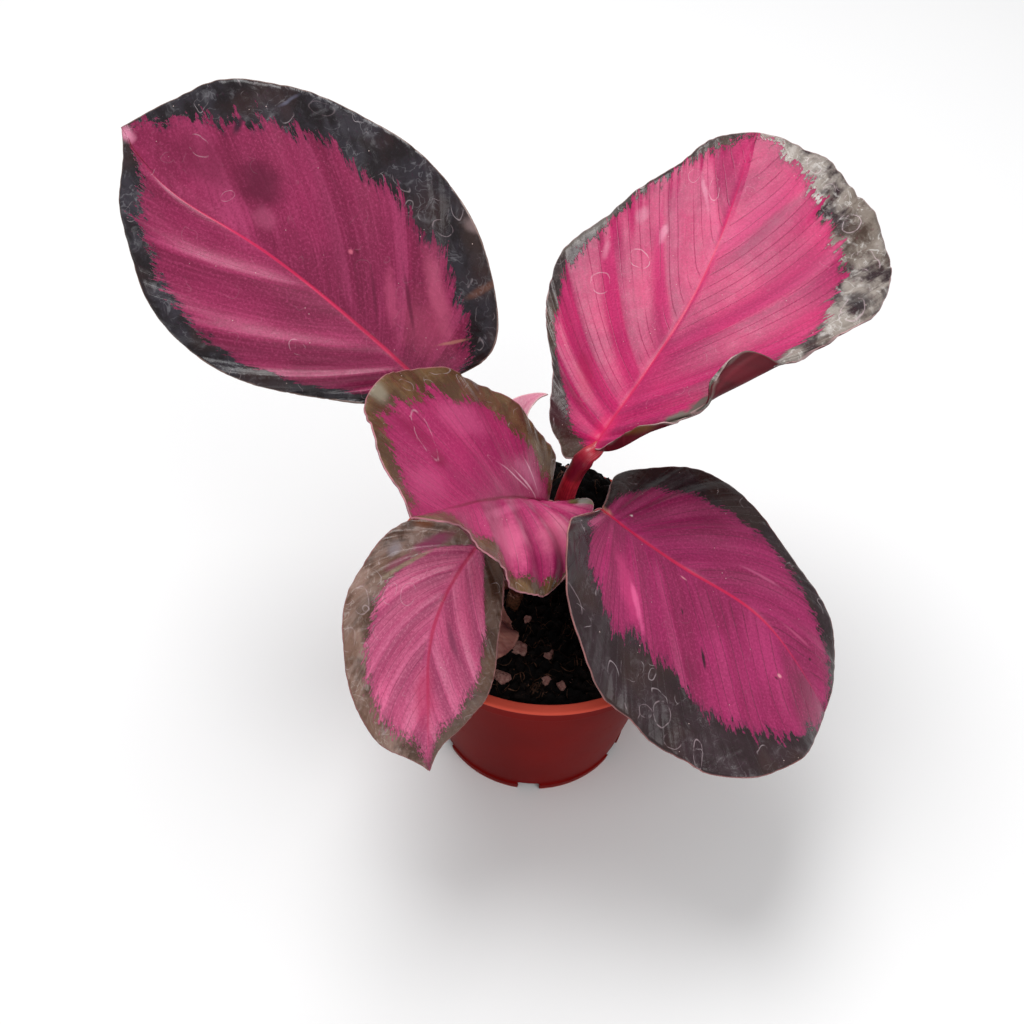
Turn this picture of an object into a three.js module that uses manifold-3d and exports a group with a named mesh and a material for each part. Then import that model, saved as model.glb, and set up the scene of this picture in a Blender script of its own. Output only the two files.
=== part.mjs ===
// A potted crimson calathea: a thin nursery pot, its plug of peat, the crown with its roots, and seven leaves,
// each a stalk and a blade. Millimetres, +Z up. The origin is the middle of the pot's underside, and -Y is
// the front of the plant.

import * as THREE from 'three';
import { mergeVertices } from 'three/addons/utils/BufferGeometryUtils.js';
import Module from 'manifold-3d';

const wasm = await Module();
wasm.setup();

// Driving dimensions

const GAP = 0.3;                 // clearance between pieces that touch
const ROOT_GAP = 0.4;            // the same round the crown and roots, where the peat's sides are slanted
const TURN = 2 * Math.PI;

const POT_HEIGHT = 45;
const POT_TOP_RADIUS = 30;       // outside of the rim
const POT_FOOT_RADIUS = 20;
const POT_WALL = 1;
const POT_FLOOR = 1.2;
const RIM_WIDTH = 2;
const COLLAR_HEIGHT = 5;         // the upright band below the rim
const COLLAR_STEP = 2.1;         // how far the band stands out from the body
const COLLAR_FLARE = 1.4;        // how much narrower the band is at its foot
const LIP_HEIGHT = 1.1;          // the rounded lip on top of the band
const LIP_ROUND = 0.4;
const FOOT_RING = 2;             // height of the plain band at the foot
const POT_SIDES = 48;
const DRAIN_HOLES = 6;
const DRAIN_RADIUS = 2.6;
const DRAIN_CIRCLE = 18.6;       // the holes break through the corner of the foot
const DRAIN_TOP = 2.4;           // height that they reach up the side
const DRAIN_LENGTH = 8;

const SOIL_LEVEL = 42.6;
const SOIL_RINGS = 11;
const CROWN_MOUND = 2.4;
const BACK_MOUND = 7;            // the peat is heaped against the back of the rim
const SOIL_ROUGHNESS = 0.55;
const CRUMBS = 16;

const CROWN = new THREE.Vector3(0, 3, 39.5);
const CROWN_RADIUS = 7.6;
const CROWN_DEPTH = 4.5;
const STUB_TOP = 46;             // height of the leaf bases on the crown
const STUB_MARGIN = 0.55;        // how much wider a leaf base is than its stalk
const STUB_FLARE = 0.5;          // and how much it widens down to the crown
const ROOTS = 6;
const ROOT_LENGTH = 27;
const ROOT_RADIUS = 0.9;

const BLADE_THICKNESS = 0.7;
const RIB_DEPTH = 1;             // how far the midrib stands out below the blade
const ROW_SPACING = 2.6;         // along the midrib
const ACROSS = [0, 0.08, 0.34, 0.6, 0.82, 1];   // places from the midrib to the margin
const SHEATH_SWELL = 0.45;       // the sheath round the foot of a stalk
const JOINT_SWELL = 0.25;        // the thicker joint below the blade
const STALK_SIDES = 8;
const STALK_STEPS = 11;

// The leaves. Along the midrib u goes from 0 at the base to 1 at the tip, and a list of three holds the values
// at its base, middle and tip. A pair holds the left half, then the right half, as seen from the base.
// spine: the midrib's four control points. roll: turn of the whole blade about its midrib, left side up.
// fold: the slope of each half where it meets the midrib. curl: its slope at the widest margin.
// spread, full, shape and lobe: how the outline swells. rolls: margin rolled inwards, as angle, place, width.
// wave: margin ripple, as height, number and phase. quilt: height of the ribs between the side veins.
// base: where the stalk stands on the crown. lift: the height that it heads straight up for.
// stalk: its last two control points, of which the second is its end below the blade.

const LEAVES = [
  {
    name: 'leaf_1', length: 66, tip: 4, widths: [19.2, 28.6], stalkRadius: 1.6,
    spread: [1, 1.2], full: [1, 0.95], shape: [[-0.06, -0.1], [0.08, 0.05]], lobe: [0, 4],
    spine: [[-22, 9, 83], [-39, 16.5, 96.5], [-58, 24.5, 104], [-77, 39, 111.5]],
    roll: [-52, -41, -44], fold: [[0, 8, -4], [20, 9, 3]], curl: [[0, -2, 2], [6, 0, 3]],
    rolls: [[], []], wave: [[0.7, 5, 0.1], [0.8, 6, 0.4]], quilt: 0.45,
    base: [-5.2, 5], lift: 60, stalk: [[-16, 6.5, 78], [-21.3, 8.6, 82.4]],
  },
  {
    name: 'leaf_2', length: 71, tip: 3, widths: [24, 27.5], stalkRadius: 1.7,
    spread: [1.12, 0.8], full: [0.83, 0.8], shape: [[0, -0.17], [-0.1, -0.1]], lobe: [4, 0],
    spine: [[6.5, 5.5, 75], [17.5, 19.5, 86], [31, 40, 91.5], [36, 68.5, 100.5]],
    roll: [-17, -7, 1], fold: [[0, 0, 12], [17, 5, 11]], curl: [[8, -2, -17], [20, -2, -18]],
    rolls: [[], [[95, 0.28, 0.08], [80, 0.06, 0.08]]], wave: [[0.6, 6, 0], [0.9, 7, 0.3]], quilt: 0.4,
    base: [2.2, 8.8], lift: 60, stalk: [[4, 4.5, 71.2], [5.8, 4.8, 74]],
  },
  {
    name: 'leaf_3', length: 54, tip: 3, widths: [15.5, 23], stalkRadius: 1.4,
    spread: [1.18, 1], full: [0.92, 0.9], shape: [[0, -0.13], [-0.12, -0.03]], lobe: [4.5, 1.2],
    spine: [[-0.5, 3.5, 62], [-8.5, -7, 77.5], [-16.5, -25.5, 91], [-20.5, -34.5, 99.5]],
    roll: [-20, -35, -9], fold: [[57, -6, 35], [51, 7, 20]], curl: [[-49, -8, -34], [4, 0, -15]],
    rolls: [[], []], wave: [[0.6, 6, 0], [0.6, 6, 0.5]], quilt: 0.4,
    base: [0.2, 2.4], lift: 52, stalk: [[0.6, 4.8, 58], [-0.1, 4.1, 61]],
  },
  {
    name: 'leaf_4', length: 41, tip: 5, widths: [12.5, 15], stalkRadius: 1.3,
    spread: [1.03, 1.08], full: [0.9, 1], shape: [[-0.05, -0.02], [0.07, 0]], lobe: [0, 0.6],
    spine: [[-11, -5.8, 63], [-20, -17.8, 59.5], [-24, -28.8, 49], [-18.5, -36.3, 34]],
    roll: [0, -3, -2], fold: [[11, 13, 5], [11, 14, 6]], curl: [[3, 0, 0], [0, 6, 0]],
    rolls: [[], []], wave: [[0.4, 5, 0], [0.6, 6, 0.2]], quilt: 0.35,
    base: [-4.8, -0.6], lift: 56, stalk: [[-7, -1.2, 63.5], [-10.6, -5.2, 63]],
  },
  {
    name: 'leaf_5', length: 55, tip: 2, widths: [19.5, 32], stalkRadius: 1.5,
    spread: [1.18, 1.1], full: [0.9, 0.78], shape: [[0.15, 0.05], [0, 0.07]], lobe: [4.5, 3.5],
    spine: [[9.2, 0.6, 64.5], [23.5, -9, 59.5], [42, -13.5, 54], [52.5, -21, 37]],
    roll: [-16, 8, -11], fold: [[6, 4, 10], [20, 0, 15]], curl: [[12, -5, -5], [4, -15, 8]],
    rolls: [[], []], wave: [[0.6, 6, 0.3], [0.7, 7, 0]], quilt: 0.4,
    base: [5.4, 2.6], lift: 54, stalk: [[8.2, 1.6, 59], [8.8, 0.5, 63.2]],
  },
  {
    name: 'leaf_6', length: 23, tip: 4, widths: [7, 7], stalkRadius: 1.1,
    spread: [1.1, 1.1], full: [0.9, 0.9], shape: [[0, 0], [0, 0]], lobe: [0, 0],
    spine: [[-6, 12.5, 56], [-9, 14.8, 64], [-7, 19, 74], [-1.6, 18, 75.5]],
    roll: [0, 0, 0], fold: [[40, 35, 20], [40, 25, 10]], curl: [[20, 20, 0], [20, 10, 0]],
    rolls: [[], []], wave: [[0.2, 4, 0], [0.2, 4, 0]], quilt: 0.2,
    base: [-2.2, 9.6], lift: 50, stalk: [[-5, 11.8, 52], [-5.8, 12.35, 55.4]],
  },
  {
    name: 'leaf_7', length: 20, tip: 3, widths: [6, 6.5], stalkRadius: 0.9,
    spread: [1.1, 1.1], full: [0.9, 0.9], shape: [[0, 0], [0, 0]], lobe: [0, 0],
    spine: [[-8, -7, 50.5], [-12, -11, 54], [-14, -18, 54], [-13, -24, 49.5]],
    roll: [150, 155, 160], fold: [[10, 5, 10], [10, 15, 10]], curl: [[20, 20, 20], [20, -20, 20]],
    rolls: [[], []], wave: [[0.7, 4, 0], [0.7, 4, 0.5]], quilt: 0.3,
    base: [-5.2, -4.8], lift: 48, stalk: [[-6, -5.4, 50], [-7.5, -6.4, 50.4]],
  },
];

// Small helpers

const radians = THREE.MathUtils.degToRad;

function seeded(seed) {
  let state = seed;
  return () => {
    state = (state * 1664525 + 1013904223) % 4294967296;
    return state / 4294967296;
  };
}

function alongThree([first, middle, last], u) {
  return first * (1 - u) * (1 - 2 * u) + 4 * middle * u * (1 - u) + last * u * (2 * u - 1);
}

function bell(x, centre, width) {
  return Math.exp(-(((x - centre) / width) ** 2));
}

function bezier(points) {
  return new THREE.CubicBezierCurve3(...points.map((p) => new THREE.Vector3(...p)));
}

function toSolid(geometry) {
  const bare = geometry.clone();
  bare.deleteAttribute('normal');
  bare.deleteAttribute('uv');
  const merged = mergeVertices(bare.index ? bare.toNonIndexed() : bare, 1e-4);
  return new wasm.Manifold(new wasm.Mesh({
    numProp: 3,
    vertProperties: new Float32Array(merged.attributes.position.array),
    triVerts: new Uint32Array(merged.index.array),
  }));
}

function toGeometry(solid) {
  const { vertProperties, triVerts } = solid.getMesh();
  return closedGeometry(Array.from(vertProperties), Array.from(triVerts));
}

function largestBody(solid) {
  return solid.decompose().reduce((a, b) => (a.volume() > b.volume() ? a : b));
}

function closedGeometry(positions, indices) {
  const geometry = new THREE.BufferGeometry();
  geometry.setAttribute('position', new THREE.Float32BufferAttribute(positions, 3));
  geometry.setIndex(indices);
  geometry.computeVertexNormals();
  return geometry;
}

// A surface of revolution about Z, from a profile of [radius, height] points
function turned(profile) {
  const points = profile.map(([radius, height]) => new THREE.Vector2(radius, height));
  return new THREE.LatheGeometry(points, POT_SIDES).rotateX(Math.PI / 2);
}

// A closed tube along a curve, with its radius as a function of the place along it
function tube(curve, radiusAt, sides, steps) {
  const frames = curve.computeFrenetFrames(steps, false);
  const positions = [];
  const indices = [];
  for (let i = 0; i <= steps; i += 1) {
    const centre = curve.getPointAt(i / steps);
    for (let k = 0; k < sides; k += 1) {
      const angle = (TURN * k) / sides;
      const radius = radiusAt(i / steps, angle);
      const point = centre.clone()
        .addScaledVector(frames.normals[i], radius * Math.cos(angle))
        .addScaledVector(frames.binormals[i], radius * Math.sin(angle));
      positions.push(point.x, point.y, point.z);
    }
  }
  for (let i = 0; i < steps; i += 1) {
    for (let k = 0; k < sides; k += 1) {
      const a = i * sides + k;
      const b = i * sides + ((k + 1) % sides);
      indices.push(a, b, a + sides, b, b + sides, a + sides);
    }
  }
  const last = steps * sides;
  for (let k = 1; k < sides - 1; k += 1) {
    indices.push(0, k + 1, k, last, last + k, last + k + 1);
  }
  return closedGeometry(positions, indices);
}

function named(name, geometry, colour, roughness) {
  const material = new THREE.MeshStandardMaterial({ color: colour, roughness, metalness: 0 });
  const mesh = new THREE.Mesh(geometry, material);
  mesh.name = name;
  return mesh;
}

// Pot: one closed profile, outside up, over the rim and down inside, with drain holes through the foot

const collarFoot = POT_HEIGHT - COLLAR_HEIGHT;
const collarFootRadius = POT_TOP_RADIUS - COLLAR_FLARE;
const bodyTopRadius = collarFootRadius - COLLAR_STEP;
const potInsideTop = POT_TOP_RADIUS - RIM_WIDTH;
const shoulderRadius = bodyTopRadius - POT_WALL;
const collarInside = potInsideTop - 0.5;

function makePot() {
  const shell = toSolid(turned([
    [0, 0],
    [POT_FOOT_RADIUS, 0],
    [POT_FOOT_RADIUS + 0.3, FOOT_RING],
    [POT_FOOT_RADIUS, FOOT_RING + LIP_ROUND],
    [bodyTopRadius, collarFoot - 0.6],
    [collarFootRadius, collarFoot],
    [collarFootRadius + LIP_ROUND, POT_HEIGHT - LIP_HEIGHT - 0.5],
    [POT_TOP_RADIUS - 0.1, POT_HEIGHT - LIP_HEIGHT],
    [POT_TOP_RADIUS, POT_HEIGHT - LIP_ROUND],
    [POT_TOP_RADIUS - LIP_ROUND, POT_HEIGHT],
    [potInsideTop + LIP_ROUND, POT_HEIGHT],
    [potInsideTop, POT_HEIGHT - LIP_ROUND],
    [collarInside, collarFoot],
    [shoulderRadius, collarFoot - 0.9],
    [POT_FOOT_RADIUS - POT_WALL, POT_FLOOR],
    [0, POT_FLOOR],
  ]));
  let pot = shell;
  for (let k = 0; k < DRAIN_HOLES; k += 1) {
    const angle = (TURN * k) / DRAIN_HOLES;
    const hole = new THREE.CylinderGeometry(DRAIN_RADIUS, DRAIN_RADIUS, DRAIN_LENGTH, 12).rotateX(Math.PI / 2);
    const middle = DRAIN_TOP - DRAIN_LENGTH / 2;
    hole.translate(DRAIN_CIRCLE * Math.sin(angle), -DRAIN_CIRCLE * Math.cos(angle), middle);
    pot = pot.subtract(toSolid(hole));
  }
  return toGeometry(pot);
}

// Crown: a knobbly rootstock with a stub for each leaf and roots that run down and out through the peat

function crownSolid(clearance) {
  const body = new THREE.SphereGeometry(1, 16, 10);
  const radius = CROWN_RADIUS + clearance;
  body.scale(radius, radius, CROWN_DEPTH + clearance).translate(CROWN.x, CROWN.y, CROWN.z);
  let solid = toSolid(body);
  for (const leaf of LEAVES) {
    const [x, y] = leaf.base;
    const top = STUB_TOP + clearance * 10;   // with a clearance it is cut out, so it reaches above the peat
    const foot = CROWN.z - clearance;
    const width = leaf.stalkRadius + STUB_MARGIN + clearance;
    const stub = new THREE.CylinderGeometry(width, width + STUB_FLARE, top - foot, 12).rotateX(Math.PI / 2);
    stub.translate(x, y, (top + foot) / 2);
    solid = solid.add(toSolid(stub));
  }
  for (let k = 0; k < ROOTS; k += 1) {
    const angle = (TURN * (k + 0.5)) / ROOTS;
    const lean = 0.5 + 0.18 * Math.sin(5 * k);
    const out = new THREE.Vector3(Math.cos(angle), Math.sin(angle), 0);
    const start = CROWN.clone().addScaledVector(out, 3);
    const middle = start.clone().addScaledVector(out, 5).add(new THREE.Vector3(0, 0, -ROOT_LENGTH * 0.45));
    const end = start.clone().addScaledVector(out, 9 * lean);
    end.z -= ROOT_LENGTH + clearance;
    const route = new THREE.CatmullRomCurve3([start, middle, end]);
    const thickness = (u) => ROOT_RADIUS * (1.3 - 0.6 * u) + clearance;
    solid = solid.add(toSolid(tube(route, thickness, 6, 6)));
  }
  return solid;
}

// Peat: a plug with a rough top, heaped at the crown and against the back, with crumbs and pumice grains in it

const soilSide = [
  [POT_FOOT_RADIUS - POT_WALL - GAP - 0.1, POT_FLOOR + GAP],
  [shoulderRadius - GAP - 0.05, collarFoot - 0.9 + GAP + 0.1],
  [collarInside - GAP - 0.05, collarFoot + GAP + 0.1],
];
const soilTopRadius = collarInside - GAP + 0.02;

function soilHeight(x, y) {
  const crown = CROWN_MOUND * bell(Math.hypot(x - CROWN.x, y - CROWN.y), 0, 11);
  const back = BACK_MOUND * bell(x, 4, 15) * bell(y, 23, 8);
  const grain = Math.sin(1.9 * x + 0.7 * y) * Math.sin(1.3 * y - 0.8 * x)
    + 0.7 * Math.sin(3.1 * x - 2.3 * y + 1) + 0.6 * Math.sin(0.8 * x + 2.9 * y + 2);
  return SOIL_LEVEL + crown + back + SOIL_ROUGHNESS * grain;
}

function soilPlug() {
  const positions = [0, 0, soilSide[0][1], 0, 0, soilHeight(0, 0)];
  const indices = [];
  const rings = soilSide.map(([radius, height]) => ({ radius, height }));
  for (let k = SOIL_RINGS; k > 0; k -= 1) rings.push({ radius: (soilTopRadius * k) / SOIL_RINGS });
  for (const { radius, height } of rings) {
    for (let k = 0; k < POT_SIDES; k += 1) {
      const angle = (TURN * k) / POT_SIDES;
      const x = radius * Math.sin(angle);
      const y = -radius * Math.cos(angle);
      positions.push(x, y, height ?? soilHeight(x, y));
    }
  }
  const at = (ring, k) => 2 + ring * POT_SIDES + (k % POT_SIDES);
  for (let k = 0; k < POT_SIDES; k += 1) {
    indices.push(0, at(0, k + 1), at(0, k));
    for (let ring = 0; ring < rings.length - 1; ring += 1) {
      indices.push(at(ring, k), at(ring, k + 1), at(ring + 1, k + 1));
      indices.push(at(ring, k), at(ring + 1, k + 1), at(ring + 1, k));
    }
    indices.push(at(rings.length - 1, k), at(rings.length - 1, k + 1), 1);
  }
  return closedGeometry(positions, indices);
}

// The larger grains of pumice that lie in front of the crown, as x, y and radius
const PUMICE = [
  [-4.3, -15, 1.5], [-7, -21.8, 1.4], [1.4, -16, 0.8], [1.2, -21.6, 0.9], [3.9, -23, 0.7], [-2.7, -9.5, 0.7],
];

function makeSoil() {
  const random = seeded(7);
  let soil = toSolid(soilPlug());
  const lumps = PUMICE.map(([x, y, radius]) => ({ x, y, radius }));
  while (lumps.length < PUMICE.length + CRUMBS) {
    const angle = TURN * random();
    const reach = 11 + 14 * Math.sqrt(random());
    lumps.push({
      x: reach * Math.sin(angle),
      y: -reach * Math.cos(angle) * 0.98,
      radius: 0.9 + 0.8 * random(),
    });
  }
  for (const { x, y, radius } of lumps) {
    const lump = new THREE.IcosahedronGeometry(radius, 0);
    lump.rotateX(TURN * random()).rotateZ(TURN * random()).scale(1.15, 1, 0.85);
    lump.translate(x, y, soilHeight(x, y) + 0.25 * radius);
    soil = soil.add(toSolid(lump));
  }
  return toGeometry(largestBody(soil.subtract(crownSolid(ROOT_GAP))));
}

// Leaf stalk: a sheath round its foot, a plain round stalk, and a thicker joint below the blade

function makeStalk(leaf) {
  const sheath = (u) => SHEATH_SWELL * THREE.MathUtils.smoothstep(0.55 - u, 0, 0.2);
  const joint = (u) => JOINT_SWELL * bell(u, 0.88, 0.08);
  const radiusAt = (u) => leaf.stalkRadius * (1 - 0.12 * u) + sheath(u) + joint(u);
  const [x, y] = leaf.base;
  const route = bezier([[x, y, STUB_TOP + GAP], [x, y, leaf.lift], ...leaf.stalk]);
  return tube(route, radiusAt, STALK_SIDES, STALK_STEPS);
}

// Blade: a flat outline, carried along the curved midrib and bent across it

const FIRST_ROW = 0.018;         // the blade starts at the joint with a narrow straight edge
const LAST_ROW = 0.97;           // the last row before the point
const VEIN_SWEEP = 1.7;          // the side veins leave the midrib at places that crowd towards the base
const QUILT_RIBS = 8;
const BEND_PARTS = 12;           // steps in which a blade's bend across the midrib is summed up

function outline(leaf, side, t) {
  const { length, tip } = leaf;
  const [second, third] = leaf.shape[side];
  const swept = ((1 - Math.cos(Math.PI * t)) / 2) ** leaf.spread[side];
  const swell = 1 + second * Math.sin(TURN * t) + third * Math.sin(1.5 * TURN * t);
  return {
    x: length * swept - leaf.lobe[side] * bell(t, 0.16, 0.1) + tip * bell(t, 1, 0.075),
    y: leaf.widths[side] * Math.sin(Math.PI * t) ** leaf.full[side] * swell,
  };
}

// A point of the flat blade: t picks the side vein that it lies on, and s is how far out along that vein it is
function flatPoint(leaf, side, t, s) {
  const edge = outline(leaf, side, t);
  const start = (leaf.length + leaf.tip) * t ** VEIN_SWEEP;
  const bendX = start + (edge.x - start) * 0.55;
  const bendY = edge.y * 0.4;
  return {
    x: (1 - s) ** 2 * start + 2 * s * (1 - s) * bendX + s * s * edge.x,
    y: 2 * s * (1 - s) * bendY + s * s * edge.y,
  };
}

function midribFrame(leaf, x) {
  const total = leaf.length + leaf.tip;
  const u = THREE.MathUtils.clamp(x / total, 0, 1);
  const along = leaf.midrib.getTangentAt(u);
  const centre = leaf.midrib.getPointAt(u).addScaledVector(along, Math.min(x, 0));
  const level = new THREE.Vector3(0, 0, 1).cross(along).normalize();
  const up = along.clone().cross(level);
  const roll = radians(alongThree(leaf.roll, x / total));
  const left = level.clone().multiplyScalar(Math.cos(roll)).addScaledVector(up, Math.sin(roll));
  const normal = up.clone().multiplyScalar(Math.cos(roll)).addScaledVector(level, -Math.sin(roll));
  return { centre, left, normal, u: x / total };
}

function bladePoint(leaf, side, t, s) {
  const { x, y } = flatPoint(leaf, side, t, s);
  const { centre, left, normal, u } = midribFrame(leaf, x);
  const fold = radians(alongThree(leaf.fold[side], u));
  let curl = radians(alongThree(leaf.curl[side], u)) - fold;
  for (const [angle, place, width] of leaf.rolls[side]) curl += radians(angle) * bell(u, place, width);
  let across = 0;
  let rise = 0;
  for (let k = 0; k < BEND_PARTS; k += 1) {
    const out = (y * (k + 0.5)) / BEND_PARTS / leaf.widths[side];
    const slope = fold + curl * out * out;
    across += (y / BEND_PARTS) * Math.cos(slope);
    rise += (y / BEND_PARTS) * Math.sin(slope);
  }
  const [height, count, phase] = leaf.wave[side];
  const taper = Math.sqrt(Math.max(0, Math.sin(Math.PI * t)));
  rise += height * Math.sin(TURN * (count * t + phase)) * s ** 3 * taper;
  rise += leaf.quilt * Math.sin(TURN * QUILT_RIBS * t) * 4 * s * (1 - s) * taper;
  const towards = side === 0 ? 1 : -1;
  return centre.addScaledVector(left, towards * across).addScaledVector(normal, rise);
}

function makeBlade(leaf) {
  leaf.midrib = bezier(leaf.spine);
  const columns = [];
  for (let k = ACROSS.length - 1; k > 0; k -= 1) columns.push({ side: 0, s: ACROSS[k] });
  for (let k = 0; k < ACROSS.length; k += 1) columns.push({ side: 1, s: ACROSS[k] });
  const rib = ACROSS.length - 1;
  const rows = Math.round(leaf.length / ROW_SPACING);
  const places = Array.from({ length: rows + 1 }, (_, i) => FIRST_ROW + (LAST_ROW - FIRST_ROW) * (i / rows));
  const middle = places.map((t) => columns.map(({ side, s }) => bladePoint(leaf, side, t, s)));
  const top = [];
  const bottom = [];
  middle.forEach((row, i) => row.forEach((point, j) => {
    const before = middle[Math.max(i - 1, 0)][j];
    const after = middle[Math.min(i + 1, rows)][j];
    const leftward = row[Math.max(j - 1, 0)];
    const rightward = row[Math.min(j + 1, columns.length - 1)];
    const normal = after.clone().sub(before).cross(leftward.clone().sub(rightward)).normalize();
    const ribGrowth = THREE.MathUtils.smoothstep(places[i], 0, 0.15) * (1 - places[i]);
    const depth = j === rib ? RIB_DEPTH * ribGrowth : 0;
    top.push(point.clone().addScaledVector(normal, BLADE_THICKNESS / 2));
    bottom.push(point.clone().addScaledVector(normal, -BLADE_THICKNESS / 2 - depth));
  }));
  const end = bladePoint(leaf, 1, 1, 0);
  const lastFrame = midribFrame(leaf, leaf.length + leaf.tip);
  top.push(end.clone().addScaledVector(lastFrame.normal, BLADE_THICKNESS / 2));
  bottom.push(end.clone().addScaledVector(lastFrame.normal, -BLADE_THICKNESS / 2));
  return skin(top, bottom, columns.length);
}

// Joins the two faces of a blade, both split into the same triangles, with a strip round the edge
function skin(top, bottom, width) {
  const count = top.length;
  const rows = (count - 1) / width;
  const tip = count - 1;
  const indices = [];
  const face = (a, b, c) => {
    indices.push(a, b, c, count + a, count + c, count + b);
  };
  const strip = (a, b) => {
    indices.push(a, count + a, count + b, a, count + b, b);
  };
  for (let i = 0; i < rows - 1; i += 1) {
    for (let j = 0; j < width - 1; j += 1) {
      const a = i * width + j;
      face(a, a + 1, a + width + 1);
      face(a, a + width + 1, a + width);
    }
    strip((i + 1) * width, i * width);
    strip(i * width + width - 1, (i + 1) * width + width - 1);
  }
  const lastRow = (rows - 1) * width;
  for (let j = 0; j < width - 1; j += 1) {
    face(lastRow + j, lastRow + j + 1, tip);
    strip(j, j + 1);
  }
  strip(tip, lastRow);
  strip(lastRow + width - 1, tip);
  const positions = [...top, ...bottom].flatMap((point) => [point.x, point.y, point.z]);
  return closedGeometry(positions, indices);
}

// Assembly

const plant = new THREE.Group();
plant.add(named('pot', makePot(), 0xa8402f, 0.35));
plant.add(named('soil', makeSoil(), 0x1a1412, 0.95));
plant.add(named('crown_and_roots', toGeometry(crownSolid(0)), 0x6d4a3a, 0.8));
for (const leaf of LEAVES) {
  const old = leaf.name === 'leaf_7';
  plant.add(named(`${leaf.name}_stalk`, makeStalk(leaf), 0x7c1f33, 0.4));
  plant.add(named(`${leaf.name}_blade`, makeBlade(leaf), old ? 0x6e2c2c : 0xb43a72, 0.45));
}

export default plant;
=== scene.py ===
# Potted crimson calathea: fine pieces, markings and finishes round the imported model.
# Blender's objects are in metres, +Z up. The plant's own sizes below are in millimetres, in the same frame.

import math
import random

import bmesh
import bpy
import numpy as np
from mathutils import Matrix, Vector, noise


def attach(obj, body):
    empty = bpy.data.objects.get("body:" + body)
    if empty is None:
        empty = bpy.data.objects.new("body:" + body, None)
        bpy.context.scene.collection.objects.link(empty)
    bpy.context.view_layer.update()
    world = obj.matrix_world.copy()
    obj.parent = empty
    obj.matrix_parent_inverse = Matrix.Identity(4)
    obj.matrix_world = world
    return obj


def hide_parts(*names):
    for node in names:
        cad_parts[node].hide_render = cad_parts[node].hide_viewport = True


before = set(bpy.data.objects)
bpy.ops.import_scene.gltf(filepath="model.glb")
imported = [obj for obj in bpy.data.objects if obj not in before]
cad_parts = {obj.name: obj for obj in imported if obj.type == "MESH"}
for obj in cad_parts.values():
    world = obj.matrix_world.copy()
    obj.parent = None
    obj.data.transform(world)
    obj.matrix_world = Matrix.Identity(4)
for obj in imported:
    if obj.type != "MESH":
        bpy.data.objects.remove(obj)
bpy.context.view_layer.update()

MM = 0.001
TURN = 2 * math.pi

# Camera: the place, tilt and roll that the photograph was taken from
CAMERA_PLACE = (-6.8, -142.1, 223.3)
CAMERA_DOWN = 48.4               # degrees below the horizon
CAMERA_ROLL = 3.5
CAMERA_LENS = 42.1875            # on a 36 mm sensor

# Lights: name, place in metres, size, watts
LIGHTS = (("overhead", (-0.12, 0.25, 0.75), 0.5, 4.2), ("front", (0.32, -0.52, 0.62), 0.6, 2.2))
LIGHT_AIM = (0, 0, 0.06)
SKY = 0.5
FLOOR_RADIUS = 4000
FLOOR_SIDES = 96

# Pot
POT_HEIGHT = 45
POT_TOP_RADIUS = 30
POT_FOOT_RADIUS = 20
POT_WALL = 1
POT_FLOOR = 1.2
RIM_WIDTH = 2
COLLAR_HEIGHT = 5
COLLAR_STEP = 2.1
COLLAR_FLARE = 1.4
LIP_HEIGHT = 1.1
LIP_ROUND = 0.4
FOOT_RING = 2
FOOT_ROUND = 0.25
RING_ROUND = 0.22
COLLAR_ROUND = 0.3
LIP_CORNER = 0.45
INNER_CORNER = 0.4
POT_SIDES = 192
DRAIN_HOLES = 6
DRAIN_BEVEL = 0.25
DRAIN_SIDES = 40
DRAIN_RADIUS = 2.6
DRAIN_CIRCLE = 18.6
DRAIN_TOP = 2.4

# Peat
GAP = 0.3
SOIL_LEVEL = 42.6
CROWN = (0, 3, 39.5)
CROWN_MOUND = 2.4
BACK_MOUND = 7
SOIL_ROUGHNESS = 0.55
SOIL_RINGS = 84
SOIL_SIDES = 216
SOIL_REACH = 26.3                # how far out crumbs and fibres lie
CRUMBS = 520
FIBRES = 520
FIBRE_POINTS = 9
SMALL_PUMICE = 26
PUMICE = (                       # x, y, radius
    (-4.3, -15, 1.5), (-7, -21.8, 1.4), (1.4, -16, 0.8),
    (1.2, -21.6, 0.9), (3.9, -23, 0.7), (-2.7, -9.5, 0.7),
)

# Crown
CROWN_RADIUS = 7.6
STUB_TOP = 46
STUB_MARGIN = 0.55
STUB_FLARE = 0.5
ROOTS = 6
ROOT_LENGTH = 27
ROOT_RADIUS = 0.9
ROOT_POINTS = 24
MELT_SIZE = 0.42

# Blades and stalks
LOBE = (0.16, 0.1)               # where a lobe at the base is widest, and its spread, along the outline
POINT_SPREAD = 0.06
VEIN_SWEEP = 1.7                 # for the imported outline
PACKED_BEND = (0.55, 0.4)
SMALL_LENGTH = 30                # a shorter leaf has fewer faces
BLADE_GRID = (216, 56)           # rows, and columns of each half
SMALL_GRID = (90, 24)
EVEN_VEINS = 0.12                # share of the side veins' starts that are spaced evenly along the midrib
VEIN_LINES = 44                  # dark lines in each half
BEND_PARTS = 60
RIB_DEPTH = 0.95
RIB_WIDTHS = (0.9, 0.4)          # at the base and at the tip
GROOVE_DEPTH = 0.16
GROOVE_WIDTH = 0.45
BLADE_THICKNESS = 0.42
EDGE_THICKNESS = 0.24
FIRST_ROW = 0.006
EDGE_TAPER = 2.5                 # how far in the blade thins towards its edge
NO_PLACES = ((), ())             # for a leaf whose halves have no such places
RUN_OUT = (                      # under the midrib: way along it, share of the radius, and extra depth
    (0, 0.8, -0.3), (1.6, 0.66, 0.02), (3.4, 0.54, 0.1),
    (5.6, 0.44, 0.1), (8.4, 0.34, 0.06), (12, 0.22, 0),
)
STALK_POINTS = 54
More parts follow.
